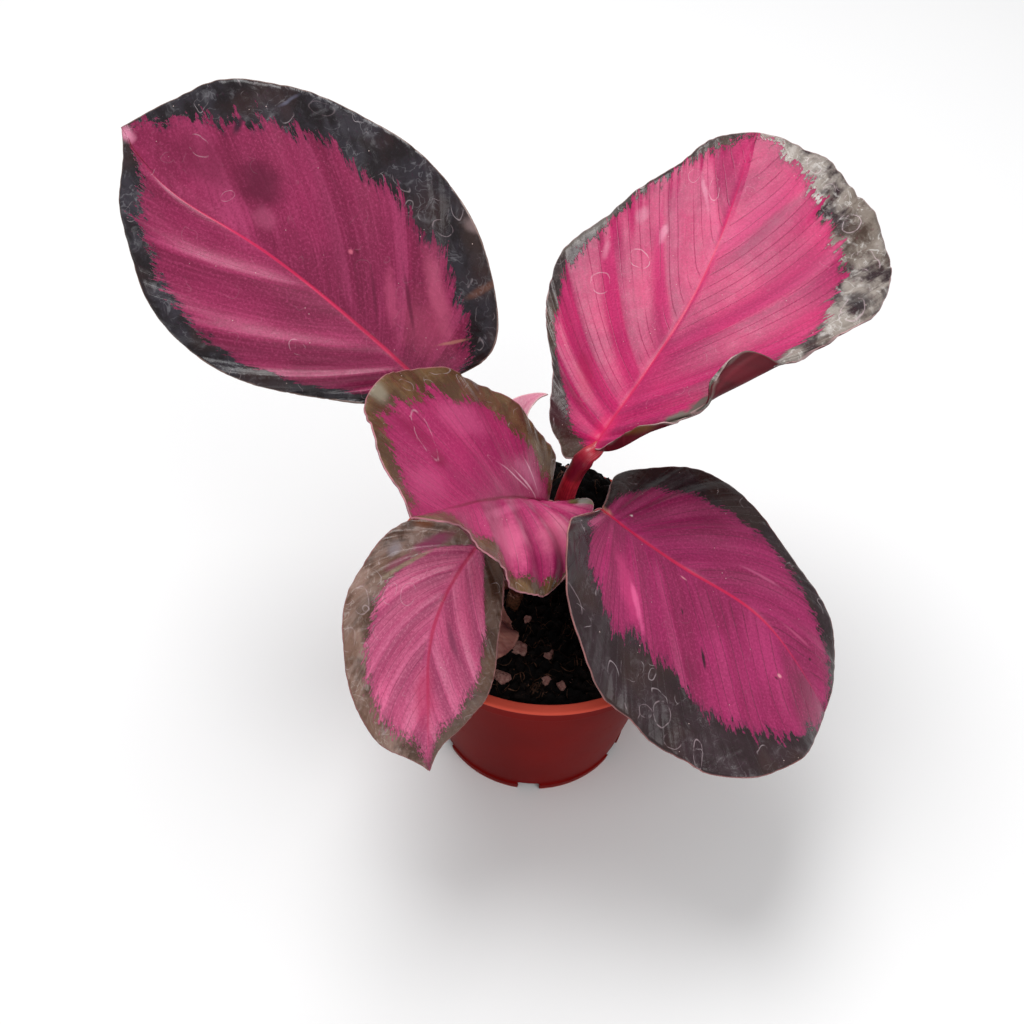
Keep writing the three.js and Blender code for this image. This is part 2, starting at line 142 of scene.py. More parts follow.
STALK_SIDES = 28
SHEATH_STRIPS = 5
SHEATH_SWELL = 0.2
JOINT_SWELL = 0.25
TURN_IN = 0.04                   # share of the leaf, to either side, in which a margin starts to fold over
TURN_OUT = 0.02                  # and in which it ends

# Finishes, as screen values of 0 to 255. Where there are two, the surface varies between them.
LOOP_TONE = (226, 200, 208)
CURL_TONE = (226, 208, 214)
SPECK_TONE = (240, 212, 206)
UNDERSIDE = ((70, 7, 18), (92, 13, 28))
UNDER_VEIN = (126, 36, 50)
UNDER_RIB = (128, 26, 46)
STALK = ((158, 18, 42), (204, 54, 72))
OLD_STALK = ((70, 30, 24), (128, 76, 56))
JOINT_TONE = (84, 4, 26)
STALK_FOOT = (150, 96, 76)
SHEATH = ((150, 96, 84), (206, 160, 144))
POT = ((98, 8, 7), (112, 13, 11))
# Painted light on the top of the lip
LIT_LIP_TONE = (220, 90, 72)
POT_FOOT = (170, 60, 50)
DUST_TONE = (190, 130, 110)
PEAT = ((3, 2, 2), (15, 9, 8))
CRUMB = ((4, 3, 3), (34, 22, 18))
FIBRE = ((26, 17, 13), (120, 84, 66))
GRAIN = ((136, 90, 84), (196, 152, 142))
ROOTSTOCK = ((70, 40, 28), (130, 84, 60))
FLOOR = ((236, 236, 237), (240, 240, 240))
FLECKS = (8, 3)                  # how far in mm the pink's islands and flecks stray

# The leaves. Three values are for the base, middle and tip of a leaf, and a pair is for its left half, then
# its right half. Places along or across a leaf are shares from 0 to 1, and angles are in degrees.
# length, tip and widths: the blade up to its point, the point, and the halves. spine: control points of the
# midrib. roll: turn of the blade about its midrib. fold and curl: slope of each half at the midrib and at
# its widest margin. spread, full, shape and lobe: how the outline swells. trim: share by which the side
# veins are longer, at seven places from the base to the tip. rolls: slope added about a place along the
# leaf, over what share of it. turned: margin folded over: angle, from and to along the leaf, where across it
# starts and over what share. flaps: share by which the side veins are longer in the margin that is folded
# over, from the first of three places to the last. ears: how far the outline reaches back beside the stalk,
# where and over what share. wave: height, count and start of the margin's ripples. quilt: height of the
# folds. crinkle: height of the margin's fine ripples. rib_bend: how far the midrib strays to the left, where
# along the leaf, over what share of it. veins: how late the side veins leave the midrib, then how each
# half's veins bend. crests: side on which the folds are lit, strength, and the side veins that the folds'
# crests follow. base, lift and stalk: where the stalk leaves the crown, the height of its second control
# point, and the last two. reach: how far out along the side veins the pink goes, at even steps from base to
# tip.
# The folds' light and shade set by crests is painted into the upper face's colour.
SMALL_SHAPE = dict(
    spread=(1.1, 1.1), full=(0.9, 0.9), shape=((0, 0), (0, 0)), lobe=(0, 0), rib_bend=(0, 0.5, 0.2),
    reach=((1.3,) * 9, (1.3,) * 9),
)
LEAVES = {
    "leaf_1": dict(
        length=66, tip=4, widths=(19.2, 28.6), stalk_radius=1.6,
        spread=(1, 1.2), full=(1, 0.95), shape=((-0.06, -0.1), (0.08, 0.05)), lobe=(0, 4),
        trim=((0, -0.06, -0.02, 0.005, 0.015, 0.015, -0.03),
              (0.1, -0.05, -0.025, 0.035, 0.04, 0.045, 0.03)),
        spine=((-22, 9, 83), (-39, 16.5, 96.5), (-58, 24.5, 104), (-77, 39, 111.5)),
        roll=(-52, -41, -44), fold=((0, 8, -4), (20, 9, 3)), curl=((0, -2, 2), (6, 0, 3)),
        wave=((0.7, 5, 0.1), (0.8, 6, 0.4)),
        quilt=(0.5, 0.3), crinkle=(0.13, 0.22), rib_bend=(2.6, 0.8, 0.2),
        veins=(4.6, (0.35, 0.53), (0.33, 0.56)),
        crests=((1, 0.7, (0.16, 0.32, 0.46, 0.6, 0.773, 0.93)),
                (1, 0.8, (0.1, 0.27, 0.514, 0.687, 0.86))),
        base=(-5.2, 5), lift=60, stalk=((-16, 6.5, 78), (-21.3, 8.6, 82.4)),
        reach=((0.53, 0.57, 0.6, 0.62, 0.79, 0.87, 0.9, 0.83, 0.58),
               (0.78, 0.68, 0.58, 0.62, 0.68, 0.79, 0.83, 0.84, 0.91)),
    ),
    "leaf_2": dict(
        length=71, tip=3, widths=(24, 27.5), stalk_radius=1.7,
        spread=(1.12, 0.8), full=(0.83, 0.8), shape=((0, -0.17), (-0.1, -0.1)), lobe=(4, 0),
        trim=((-0.25, -0.06, 0, 0.015, -0.02, -0.02, 0.06), (0, 0, 0, 0.02, 0, 0, 0.08)),
        flaps=((), ((0.25, 0.205, 0.3, 0.35), (0.3, -0.02, 0.06, 0.19))), ears=(((3.2, 0.045, 0.05),), ()),
        spine=((6.5, 5.5, 75), (17.5, 19.5, 86), (31, 40, 91.5), (36, 68.5, 100.5)),
        roll=(-17, -7, 1), fold=((0, 0, 12), (17, 5, 11)), curl=((8, -2, -17), (20, -2, -18)),
        rolls=((), ((8, 0.28, 0.08), (40, 0.04, 0.08))),
        turned=((), ((150, 0.19, 0.34, 0.9, 0.2), (115, -0.1, 0.12, 0.88, 0.25))),
        wave=((0.6, 6, 0), (0.9, 7, 0.3)),
        quilt=(0.4, 0.4), crinkle=(0.2, 0.4), rib_bend=(1, 0.8, 0.25),
        veins=(4.2, (0.23, 0.54), (0.36, 0.58)),
        crests=((-1, 0.8, (0.18, 0.36, 0.52, 0.637, 0.756, 0.9)),
                (1, 0.7, (0.15, 0.33, 0.5, 0.678, 0.859))),
        base=(2.2, 8.8), lift=60, stalk=((4, 4.5, 71.2), (5.8, 4.8, 74)),
        reach=((0.17, 0.4, 0.64, 0.79, 0.88, 0.96, 0.98, 0.93, 0.84),
               (0.75, 0.74, 0.73, 0.72, 0.7, 0.79, 0.82, 0.83, 0.76)),
    ),
    "leaf_3": dict(
        length=54, tip=3, widths=(15.5, 23), stalk_radius=1.4,
        spread=(1.18, 1), full=(0.92, 0.9), shape=((0, -0.13), (-0.12, -0.03)), lobe=(4.5, 1.2),
        trim=((0.1, 0, 0.03, 0, -0.04, -0.05, -0.05), (0, 0, 0.04, 0.01, 0, -0.06, -0.15)),
        spine=((-0.5, 3.5, 62), (-8.5, -7, 77.5), (-16.5, -25.5, 91), (-20.5, -34.5, 99.5)),
        roll=(-20, -35, -9), fold=((57, -6, 35), (51, 7, 20)), curl=((-49, -8, -34), (4, 0, -15)),
        wave=((0.6, 6, 0), (0.6, 6, 0.5)),
        quilt=(0.7, 0.12), crinkle=(0.14, 0.14), rib_bend=(0, 0.5, 0.2),
        veins=(1.9, (0.12, 0.81), (0.75, 0.4)),
        crests=((1, 0.8, (0.1, 0.22, 0.34, 0.46, 0.58, 0.73)),
                (-1, 0.3, (0.15, 0.3, 0.45, 0.58, 0.7, 0.84))),
        base=(0.2, 2.4), lift=52, stalk=((0.6, 4.8, 58), (-0.1, 4.1, 61)),
        reach=((1.1, 1.05, 1, 0.86, 0.78, 0.72, 0.55, 0.2, -0.2),
               (0.36, 0.34, 0.56, 0.76, 0.8, 0.83, 0.86, 0.7, 0.25)),
    ),
    "leaf_4": dict(
        length=41, tip=5, widths=(12.5, 15), stalk_radius=1.3,
        spread=(1.03, 1.08), full=(0.9, 1), shape=((-0.05, -0.02), (0.07, 0)), lobe=(0, 1.6),
        trim=((0, 0, 0, 0.01, 0.02, 0.02, 0), (0, 0.12, 0.03, 0.02, -0.02, 0.01, -0.05)),
        spine=((-11, -5.8, 63), (-20, -17.8, 59.5), (-24, -28.8, 49), (-18.5, -36.3, 34)),
        roll=(0, -3, -2), fold=((11, 13, 5), (11, 14, 6)), curl=((3, 0, 0), (0, 6, 0)),
        wave=((0.4, 5, 0), (0.6, 6, 0.2)),
        quilt=(0.45, 0.4), crinkle=(0.12, 0.16), rib_bend=(1.7, 0.7, 0.25),
        veins=(4.5, (0.38, 0.53), (0.37, 0.54)),
        crests=((-1, 1, (0.2, 0.38, 0.543, 0.674, 0.83, 0.95)),
                (-1, 0.9, (0.3, 0.47, 0.6, 0.715, 0.81, 0.92))),
        base=(-4.8, -0.6), lift=56, stalk=((-7, -1.2, 63.5), (-10.6, -5.2, 63)),
        reach=((-0.5, -0.4, -0.2, 0.31, 0.71, 0.82, 0.84, 0.81, 0.6),
               (-0.5, -0.4, -0.2, 0.09, 0.59, 0.79, 0.85, 0.82, 0.37)),
    ),
    "leaf_5": dict(
        length=55, tip=2, widths=(19.5, 32), stalk_radius=1.5,
        spread=(1.18, 1.1), full=(0.9, 0.78), shape=((0.15, 0.05), (0, 0.07)), lobe=(4.5, 3.5),
        trim=((0.1, 0, 0.09, 0.04, 0.01, 0.04, 0), (0.1, 0, 0.015, 0, 0, 0.01, 0.03)),
        spine=((9.2, 0.6, 64.5), (23.5, -9, 59.5), (42, -13.5, 54), (52.5, -21, 37)),
        roll=(-16, 8, -11), fold=((6, 4, 10), (20, 0, 15)), curl=((12, -5, -5), (4, -15, 8)),
        wave=((0.5, 4, 0.3), (0.7, 7, 0)),
        quilt=(0.4, 0.3), crinkle=(0.08, 0.16), rib_bend=(1.7, 0.58, 0.2),
        veins=(4.8, (0.3, 0.58), (0.4, 0.5)),
        crests=((-1, 0.6, (0.15, 0.3, 0.42, 0.58, 0.752, 0.875)),
                (-1, 0.6, (0.2, 0.35, 0.531, 0.66, 0.793, 0.912))),
        base=(5.4, 2.6), lift=54, stalk=((8.2, 1.6, 59), (8.8, 0.5, 63.2)),
        reach=((-0.05, 0.22, 0.49, 0.59, 0.78, 0.89, 0.84, 0.9, 1),
               (0.15, 0.36, 0.58, 0.67, 0.62, 0.66, 0.77, 0.85, 0.89)),
    ),
    "leaf_6": dict(
        SMALL_SHAPE, length=23, tip=4, widths=(7, 7), stalk_radius=1.1,
        trim=((0, 0, 0, -0.1, -0.2, -0.3, -0.3), (0, 0, 0, -0.1, -0.2, -0.3, -0.3)),
        spine=((-6, 12.5, 56), (-9, 14.8, 64), (-7, 19, 74), (-1.6, 18, 75.5)),
        roll=(0, 0, 0), fold=((40, 35, 20), (40, 25, 10)), curl=((20, 20, 0), (20, 10, 0)),
        wave=((0.2, 4, 0), (0.2, 4, 0)),
        quilt=(0.2, 0.2), crinkle=(0.04, 0.04),
        veins=(3.5, (0.33, 0.55), (0.33, 0.55)),
        crests=((1, 0.5, (0.2, 0.4, 0.6, 0.8)),
                (1, 0.5, (0.2, 0.4, 0.6, 0.8))),
        base=(-2.2, 9.6), lift=50, stalk=((-5, 11.8, 52), (-5.8, 12.35, 55.4)),
    ),
    "leaf_7": dict(
        SMALL_SHAPE, length=20, tip=1.2, widths=(6, 6.5), stalk_radius=0.9,
        trim=((0, 0, 0.15, 0.3, 0.45, 0.6, 0.8), (0, 0, 0.15, 0.3, 0.45, 0.6, 0.8)),
        spine=((-8, -7, 50.5), (-12, -11, 54), (-14, -18, 54), (-13, -24, 49.5)),
        roll=(150, 155, 160), fold=((10, 5, 10), (10, 15, 10)), curl=((20, 20, 20), (20, -20, 20)),
        wave=((0.7, 4, 0), (0.7, 4, 0.5)),
        quilt=(0.3, 0.3), crinkle=(0.2, 0.2),
        veins=(3, (0.33, 0.55), (0.33, 0.55)),
        crests=((1, 0.9, (0.2, 0.35, 0.5, 0.65, 0.8)),
                (-1, 0.9, (0.2, 0.35, 0.5, 0.65, 0.8))),
        base=(-5.2, -4.8), lift=48, stalk=((-6, -5.4, 50), (-7.5, -6.4, 50.4)),
    ),
}

# Markings. A pair of numbers is for the left half and the right half.
# field: pink, its darker bands, its paler places; the darker and paler tones also give the folds their
# painted
# shade and painted highlights. dusk: the purple where the pink ends. margin, bloom and tinge: the outer
# zone, the
# grey or brown film on it, which is part pigment and part painted sheen, and its browner places. film and
# creases:
# how much of that film, and how many wrinkles with painted highlights, each half has. edge: the thin outer
# line.
# strokes and lobes: length in mm of the brush strokes and of the larger lobes at the pink's end. soft: how
# far in mm that end is blurred.
# rib: the midrib's colour and its strength. lines: strength of the dark lines along the side veins. scrawl:
# strength of the pale curls in the margin and in the field. spots: x, y along and across the flat leaf,
# length, width, turn in degrees, colour, strength. loops: the same without a colour. under: spots of the
# underside.
SMALL_MARKS = dict(strokes=(1, 1), lobes=(1, 1), soft=0.2, spots=(), loops=())
MARKINGS = {
    "leaf_1": dict(
        field=((148, 34, 82), (108, 16, 54), (196, 76, 124)), dusk=(62, 16, 46),
        margin=(24, 16, 20), bloom_and_sheen=(62, 58, 68), tinge=(56, 34, 32), film_and_sheen=(0.5, 0.4),
        edge=(150, 122, 112), crease_highlights=(0.3, 0.3),
        strokes=(7, 13), lobes=(5, 9), soft=0.12, rib=((212, 34, 86), 0.8), lines=0.12, scrawl=(0.25, 0.05),
        spots=(
            # The pale spot at 39.5 along is a painted highlight.
            (43.5, -8.1, 6, 4.6, 0, (92, 10, 46), 0.8), (39.5, -4, 3, 2.4, 0, (196, 96, 132), 0.3),
            (54, -5, 10, 5, 10, (106, 14, 52), 0.5), (68.4, 0.2, 2.4, 1.6, 0, (226, 140, 170), 0.85),
            (24.8, -8.9, 0.55, 0.5, 0, (214, 106, 130), 0.85), (24, -9.6, 0.6, 0.35, 0, (96, 8, 40), 0.8),
            (8, -8, 7, 6, -40, (190, 78, 112), 0.35), (15, -7.5, 6.5, 1.6, -47, (206, 88, 128), 0.42),
            (10, -13.5, 9, 2, -36, (206, 96, 130), 0.45), (12.7, -9.4, 7, 0.5, -42, (92, 10, 46), 0.7),
            (17.2, -5.6, 6, 0.45, -46, (96, 12, 48), 0.6),
            (12, -25, 7, 3, -30, (62, 44, 38), 0.6),
            (12.4, -26, 2.6, 1.6, 40, (176, 150, 150), 0.4),
            (48.1, -21.6, 2.6, 0.5, 60, (110, 110, 130), 0.6),
            (52.5, -13.4, 2.6, 0.9, -78, (36, 16, 34), 0.85), (5.5, -20, 0.8, 5, -15, (150, 92, 66), 0.3),
            (3.2, -9.8, 0.35, 4, -28, (190, 130, 110), 0.6),
        ),
        loops=(
            (61.4, 2.1, 1.4, 1.1, 0, 0.4), (15.8, -22, 1.6, 1.1, 30, 0.4), (56.3, -6.5, 2.6, 1.4, 0, 0.35),
            (47, -3, 1.4, 0.8, 60, 0.5), (42.4, -24, 2.2, 1, 20, 0.15), (22, 9.5, 1.6, 1, 0, 0.4),
        ),
    ),
    "leaf_2": dict(
        field=((192, 24, 96), (138, 12, 74), (216, 68, 128)), dusk=(92, 20, 50),
        margin=(44, 28, 32), bloom_and_sheen=(156, 146, 138), tinge=(84, 66, 50), film_and_sheen=(0.12, 0.95),
        edge=(186, 150, 150), crease_highlights=(0.12, 0.95),
        strokes=(4, 11), lobes=(3, 6), soft=0.14, rib=((206, 26, 86), 0.75), lines=0.4, scrawl=(0.45, 0.06),
        under=((5, -12.6, 2.6, 1.8, -40, (110, 76, 34), 0.6),),
        spots=(
            # The pale spots at 45.2, 57, 48.5 and 39.2 along are painted sheen.
            (45.2, 10.9, 3, 1, 10, (226, 160, 184), 0.45), (57, 6.6, 5, 0.6, 25, (222, 150, 176), 0.35),
            (48.5, 16.4, 3, 1.6, -10, (206, 140, 162), 0.35), (50, -6.3, 10, 1.7, -22, (142, 16, 76), 0.6),
            (39.2, 20.4, 3.4, 1, 10, (222, 140, 166), 0.4), (3, 0, 5, 3, 0, (232, 30, 100), 0.5),
            (12, 11, 8, 2.4, 38, (168, 14, 72), 0.5), (41, -27.5, 2, 3, 0, (50, 44, 46), 0.7),
            (2, 10.5, 10, 2.2, 64, (66, 14, 30), 0.6), (46, 24.4, 15, 2.4, -22, (122, 116, 112), 0.7),
            # The two grey strips at 15 and 8.2 along are the margin's film, part pigment and part painted
            # sheen.
            (15, -17.2, 8.5, 4.1, -8, (88, 80, 72), 2), (8.2, -13.2, 5, 2.5, -45, (108, 98, 90), 2),
        ),
        loops=(
            (38.8, 13.2, 2.4, 1.7, 50, 0.55), (31.5, 18.4, 2.6, 2, 30, 0.45),
            (55.9, -21.2, 2.2, 1.5, 0, 0.6), (49.9, -26, 2.6, 1.8, 40, 0.6),
            (39.1, -27.1, 2.4, 1.7, 0, 0.6), (67.2, -11.8, 2.2, 1.2, 20, 0.6),
            (62, -15.5, 1.6, 1.1, 0, 0.55), (58.1, 5, 2.6, 0.9, 15, 0.5), (60, 9.6, 1.5, 1, 0, 0.4),
        ),
    ),
    "leaf_3": dict(
        field=((166, 40, 94), (136, 24, 76), (206, 84, 132)), dusk=(118, 32, 64),
        margin=(78, 52, 34), bloom_and_sheen=(118, 90, 58), tinge=(84, 60, 40), film_and_sheen=(0.7, 0.6),
        edge=(190, 120, 132), crease_highlights=(0.2, 0.1),
        strokes=(6, 9), lobes=(4, 6), soft=0.12, rib=((120, 12, 50), 0.8), lines=0.6, scrawl=(0.3, 0.04),
        spots=(
            # The pale spot and the three thin pale streaks near the base, 8 to 14 along, are painted sheen.
            (8.5, -4, 7, 2.4, -25, (220, 132, 168), 0.36), (10, -2.6, 6, 0.3, -30, (238, 196, 210), 0.6),
            (14, -3.6, 7, 0.25, -24, (236, 190, 206), 0.55), (8, -4.4, 4.5, 0.3, -48, (236, 190, 206), 0.5),
            (36.7, -8.2, 3, 2.2, 20, (124, 12, 58), 0.7),
            (27.5, 6.9, 9, 6, 0, (222, 110, 148), 0.55), (12, 9, 7, 6, 0, (224, 112, 146), 0.5),
            (44, -5, 7, 4, 0, (196, 78, 126), 0.4),
            (38, -13.5, 6, 3.2, -60, (132, 16, 66), 0.7), (25, -14, 8, 4, -20, (208, 90, 138), 0.35),
            (24, 2.2, 12, 1, 3, (226, 120, 160), 0.28), (-1.4, 6.6, 2.4, 4, 0, (112, 100, 58), 2),
            (39.6, -21.6, 2, 3, 0, (150, 146, 130), 0.5), (3.5, 11, 3, 2, 0, (214, 130, 120), 0.5),
        ),
        loops=(
            (36.6, -12.4, 4.6, 1.8, 75, 0.4), (20.1, -6, 2.4, 0.5, -35, 0.3), (33, -21.5, 1.6, 1.2, 0, 0.4),
        ),
    ),
    "leaf_4": dict(
        field=((220, 92, 140), (158, 52, 96), (240, 138, 174)), dusk=(120, 56, 84),
        margin=(80, 56, 44), bloom_and_sheen=(152, 124, 112), tinge=(104, 70, 50), film_and_sheen=(0.25, 0.9),
        edge=(160, 100, 100), crease_highlights=(0.2, 0.5),
        strokes=(3, 3), lobes=(3, 3), soft=0.4, rib=((190, 36, 82), 0.7), lines=0.4, scrawl=(0.3, 0.12),
        spots=(
            # The mauve spots at 6.6 and 11.5 along, and at 19.7 on the next line, are painted shade in the
            # folds.
            (6.6, -7, 5, 1.5, -34, (150, 64, 98), 1.2), (11.5, -9.6, 3, 1, -36, (150, 70, 98), 0.7),
            (31.5, 0.9, 7.5, 2.6, 0, (194, 40, 92), 0.5), (19.7, 4.5, 5, 0.9, 32, (118, 44, 78), 0.6),
            (11.2, -8.4, 7, 0.45, -36, (158, 142, 112), 0.7), (4, -10.4, 2.4, 3, -20, (112, 54, 14), 0.9),
            (10.3, -11.7, 1.6, 1.4, 0, (160, 150, 158), 0.6), (36, -9.5, 5, 1.4, -20, (96, 60, 44), 0.4),
        ),
        loops=(
            (15.3, -5.8, 1.7, 1.2, 0, 0.4), (16.2, -8.8, 1.6, 1.1, 0, 0.4), (18.6, -13, 1.9, 1.3, 30, 0.45),
            (24, -13.4, 1.5, 1.2, 0, 0.3),
        ),
    ),
    "leaf_5": dict(
        field=((156, 32, 92), (116, 18, 62), (198, 68, 124)), dusk=(66, 20, 50),
        margin=(40, 25, 28), bloom_and_sheen=(64, 46, 54), tinge=(58, 38, 32), film_and_sheen=(0.2, 0.35),
        edge=(168, 110, 108), crease_highlights=(0.08, 0.15),
        strokes=(4, 11), lobes=(3, 8), soft=0.16, rib=((200, 24, 74), 0.85), lines=0.5, scrawl=(0.3, 0.03),
        spots=(
            (28.4, -12, 2.6, 0.45, -48, (34, 14, 24), 0.95), (21.1, -7.7, 0.9, 0.25, -48, (34, 14, 24), 0.9),
            # The two pink spots at 10.6 and 13.6 along are a painted patch of light.
            (10.6, -11.4, 8.5, 2.4, -46, (206, 62, 122), 0.5),
            (13.6, -12.9, 6.4, 0.7, -46, (226, 98, 150), 0.6),
            (43, -4.8, 0.7, 0.5, 0, (224, 150, 160), 0.85), (42.7, -5.6, 0.6, 0.3, 0, (60, 16, 32), 0.8),
            (47.1, 3.3, 0.5, 0.35, 0, (40, 16, 24), 0.9), (4.7, 3, 0.35, 0.35, 0, (236, 214, 214), 0.9),
            (18.5, -1.6, 1, 0.25, 0, (226, 150, 160), 0.6), (30.8, 8.2, 5.5, 0.35, 12, (190, 90, 130), 0.6),
            (41.8, 4.3, 5, 0.35, 8, (186, 80, 120), 0.6), (49.6, -2.1, 5, 3.4, 0, (112, 18, 60), 0.55),
            (27.4, -15.6, 4, 1.6, -40, (108, 18, 58), 0.5), (0.6, 0, 2, 1.4, 0, (190, 130, 110), 0.7),
        ),
        loops=(
            (36.9, -26.9, 2.6, 1, -50, 0.5), (27, -25.1, 2.2, 1.5, -40, 0.4), (21.6, -28, 2, 1.3, -30, 0.45),
            (31.4, -27.6, 1.6, 1.2, 0, 0.35), (5.6, -24.9, 2, 1.4, 0, 0.35), (24, -26.6, 1.5, 1, 20, 0.35),
        ),
    ),
    "leaf_6": dict(
        SMALL_MARKS, field=((238, 168, 188), (222, 130, 160), (246, 206, 214)), dusk=(220, 140, 160),
        margin=(210, 150, 150), bloom_and_sheen=(220, 180, 170), tinge=(214, 160, 160), film_and_sheen=(0.3, 0.3),
        edge=(240, 200, 200), crease_highlights=(0, 0),
        rib=((214, 116, 146), 0.5), lines=0.2, scrawl=(0.05, 0.05),
    ),
    "leaf_7": dict(
        SMALL_MARKS, field=((134, 74, 70), (92, 42, 44), (180, 124, 112)), dusk=(90, 40, 36),
        margin=(80, 40, 32), bloom_and_sheen=(124, 84, 72), tinge=(96, 60, 50), film_and_sheen=(0.4, 0.4),
        edge=(160, 110, 96), crease_highlights=(0.4, 0.4),
        rib=((176, 116, 104), 0.7), lines=0.6, scrawl=(0.15, 0.15),
    ),
}


# Shapes of the blades


def along_three(values, u):
    first, middle, last = values
    return first * (1 - u) * (1 - 2 * u) + 4 * middle * u * (1 - u) + last * u * (2 * u - 1)


def bell(x, centre, width):
    return np.exp(-(((x - centre) / width) ** 2))


def smooth(x, low, high):
    v = np.clip((x - low) / (high - low), 0, 1)
    return v * v * (3 - 2 * v)


def outline(leaf, side, t):
    second, third = leaf["shape"][side]
    swept = ((1 - np.cos(np.pi * t)) / 2) ** leaf["spread"][side]
    swell = 1 + second * np.sin(TURN * t) + third * np.sin(1.5 * TURN * t)
    point = np.exp(-np.abs(t - 1) / POINT_SPREAD)
    x = leaf["length"] * swept - leaf["lobe"][side] * bell(t, *LOBE) + leaf["tip"] * point
    y = leaf["widths"][side] * np.maximum(np.sin(np.pi * t), 0) ** leaf["full"][side] * swell
    return x, y


def packed_point(leaf, side, t, s):
    """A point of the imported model's flat blade, s of the way from the midrib to the outline."""
    edge_x, edge_y = outline(leaf, side, t)
    start = (leaf["length"] + leaf["tip"]) * t ** VEIN_SWEEP
    bend_x = start + (edge_x - start) * PACKED_BEND[0]
    bend_y = edge_y * PACKED_BEND[1]
    x = (1 - s) ** 2 * start + 2 * s * (1 - s) * bend_x + s * s * edge_x
    y = 2 * s * (1 - s) * bend_y + s * s * edge_y
    return x, y


def margin_point(leaf, side, t):
    longer = curve_through(leaf["trim"][side], t)
    for share, first, widest, last in leaf.get("flaps", NO_PLACES)[side]:
        longer = longer + share * smooth(t, first, widest) * smooth(last - t, 0, last - widest)
    x, y = packed_point(leaf, side, t, 1 + longer)
    for back, place, width in leaf.get("ears", NO_PLACES)[side]:
        x = x - back * bell(t, place, width) * smooth(t, 0, 0.02)
    return x, y


def rib_line(leaf, x):
    """How far to the left the midrib lies."""
    amount, place, width = leaf["rib_bend"]
    u = x / (leaf["length"] + leaf["tip"])
    return amount * bell(u, place, width) * smooth(1 - u, 0, 0.06)


def vein_start(leaf, t):
    late = EVEN_VEINS * t + (1 - EVEN_VEINS) * t ** leaf["veins"][0]
    return (leaf["length"] + leaf["tip"]) * late


def flat_point(leaf, side, t, s):
    """A point of the flat blade, with y above zero in the left half. t picks the side vein, and s is how far
    out along that vein it is."""
    edge_x, edge_y = margin_point(leaf, side, t)
    near, high = leaf["veins"][1 + side]
    start = vein_start(leaf, t)
    bend_x = start + (edge_x - start) * near
    x = (1 - s) ** 2 * start + 2 * s * (1 - s) * bend_x + s * s * edge_x
    y = 2 * s * (1 - s) * edge_y * high + s * s * edge_y
    return x, (y if side == 0 else -y) + rib_line(leaf, x) * (1 - s)


def half_widths(leaf, x):
    """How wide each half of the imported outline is, x along the leaf."""
    t = np.linspace(0, 1, 300)
    edges = [outline(leaf, side, t) for side in (0, 1)]
    return [np.maximum(np.interp(x, np.maximum.accumulate(edge_x), edge_y), 0.01)
            for edge_x, edge_y in edges]


def bezier(points, steps):
    """Points, directions and lengths so far, from 0 to 1, along a cubic Bezier curve."""
    a, b, c, d = (np.array(p, float) for p in points)
    v = np.linspace(0, 1, steps + 1)[:, None]
    places = (1 - v) ** 3 * a + 3 * v * (1 - v) ** 2 * b + 3 * v * v * (1 - v) * c + v ** 3 * d
    ways = (1 - v) ** 2 * (b - a) + 2 * v * (1 - v) * (c - b) + v * v * (d - c)
    ways /= np.linalg.norm(ways, axis=1, keepdims=True)
    lengths = np.concatenate([[0], np.cumsum(np.linalg.norm(np.diff(places, axis=0), axis=1))])
    return places, ways, lengths / lengths[-1]


def midrib_frame(leaf, x):
    places, ways, lengths = bezier(leaf["spine"], 400)
    u = x / (leaf["length"] + leaf["tip"])
    held = np.clip(u, 0, 1)
    along = np.stack([np.interp(held, lengths, ways[:, k]) for k in range(3)], axis=-1)
    centre = np.stack([np.interp(held, lengths, places[:, k]) for k in range(3)], axis=-1)
    along /= np.linalg.norm(along, axis=-1, keepdims=True)
    centre = centre + along * np.minimum(x, 0)[..., None]
    level = np.stack([-along[..., 1], along[..., 0], np.zeros_like(u)], axis=-1)
    level /= np.linalg.norm(level, axis=-1, keepdims=True)
    up = np.cross(along, level)
    roll = np.radians(along_three(leaf["roll"], u))[..., None]
    return centre, level * np.cos(roll) + up * np.sin(roll), up * np.cos(roll) - level * np.sin(roll), u


def fold_share(leaf, side, t):
    """How far a side vein is from one fold's crest to the next, as a share."""
    lit_side, _, crests = leaf["crests"][side]
    places = [crests[0] - 0.2, *crests, crests[-1] + 0.2]
    count = np.interp(t, places, range(len(places)))
    share = count - np.floor(count)
    return share if lit_side > 0 else 1 - share


def relief(leaf, side, t, s):
    """Height of the folds, of the fine ripples near the margin and of a slow unevenness."""
    seed = leaf["length"] * 0.37 + 1.7 * side
    spread = np.maximum(4 * s * (1 - s), 0) ** 0.7
    folds = leaf["quilt"][side] * np.cos(TURN * fold_share(leaf, side, t) ** 0.7) * spread
    first = np.sin(TURN * 19 * t + seed) * np.sin(TURN * 7 * t + 2 * seed)
    second = np.sin(TURN * 31 * t + 5 * s + seed) + 0.7 * np.sin(TURN * 43 * t - 14 * s + 3 * seed)
    ripples = leaf["crinkle"][side] * (first + 0.4 * second) * smooth(s, 0.7, 1)
    slow = np.sin(TURN * (1.3 * t + 0.9 * s) + seed) * np.sin(TURN * (2.1 * t - 0.7 * s) + 3 * seed)
    return folds + ripples + 0.3 * slow * s * (1.2 - s)


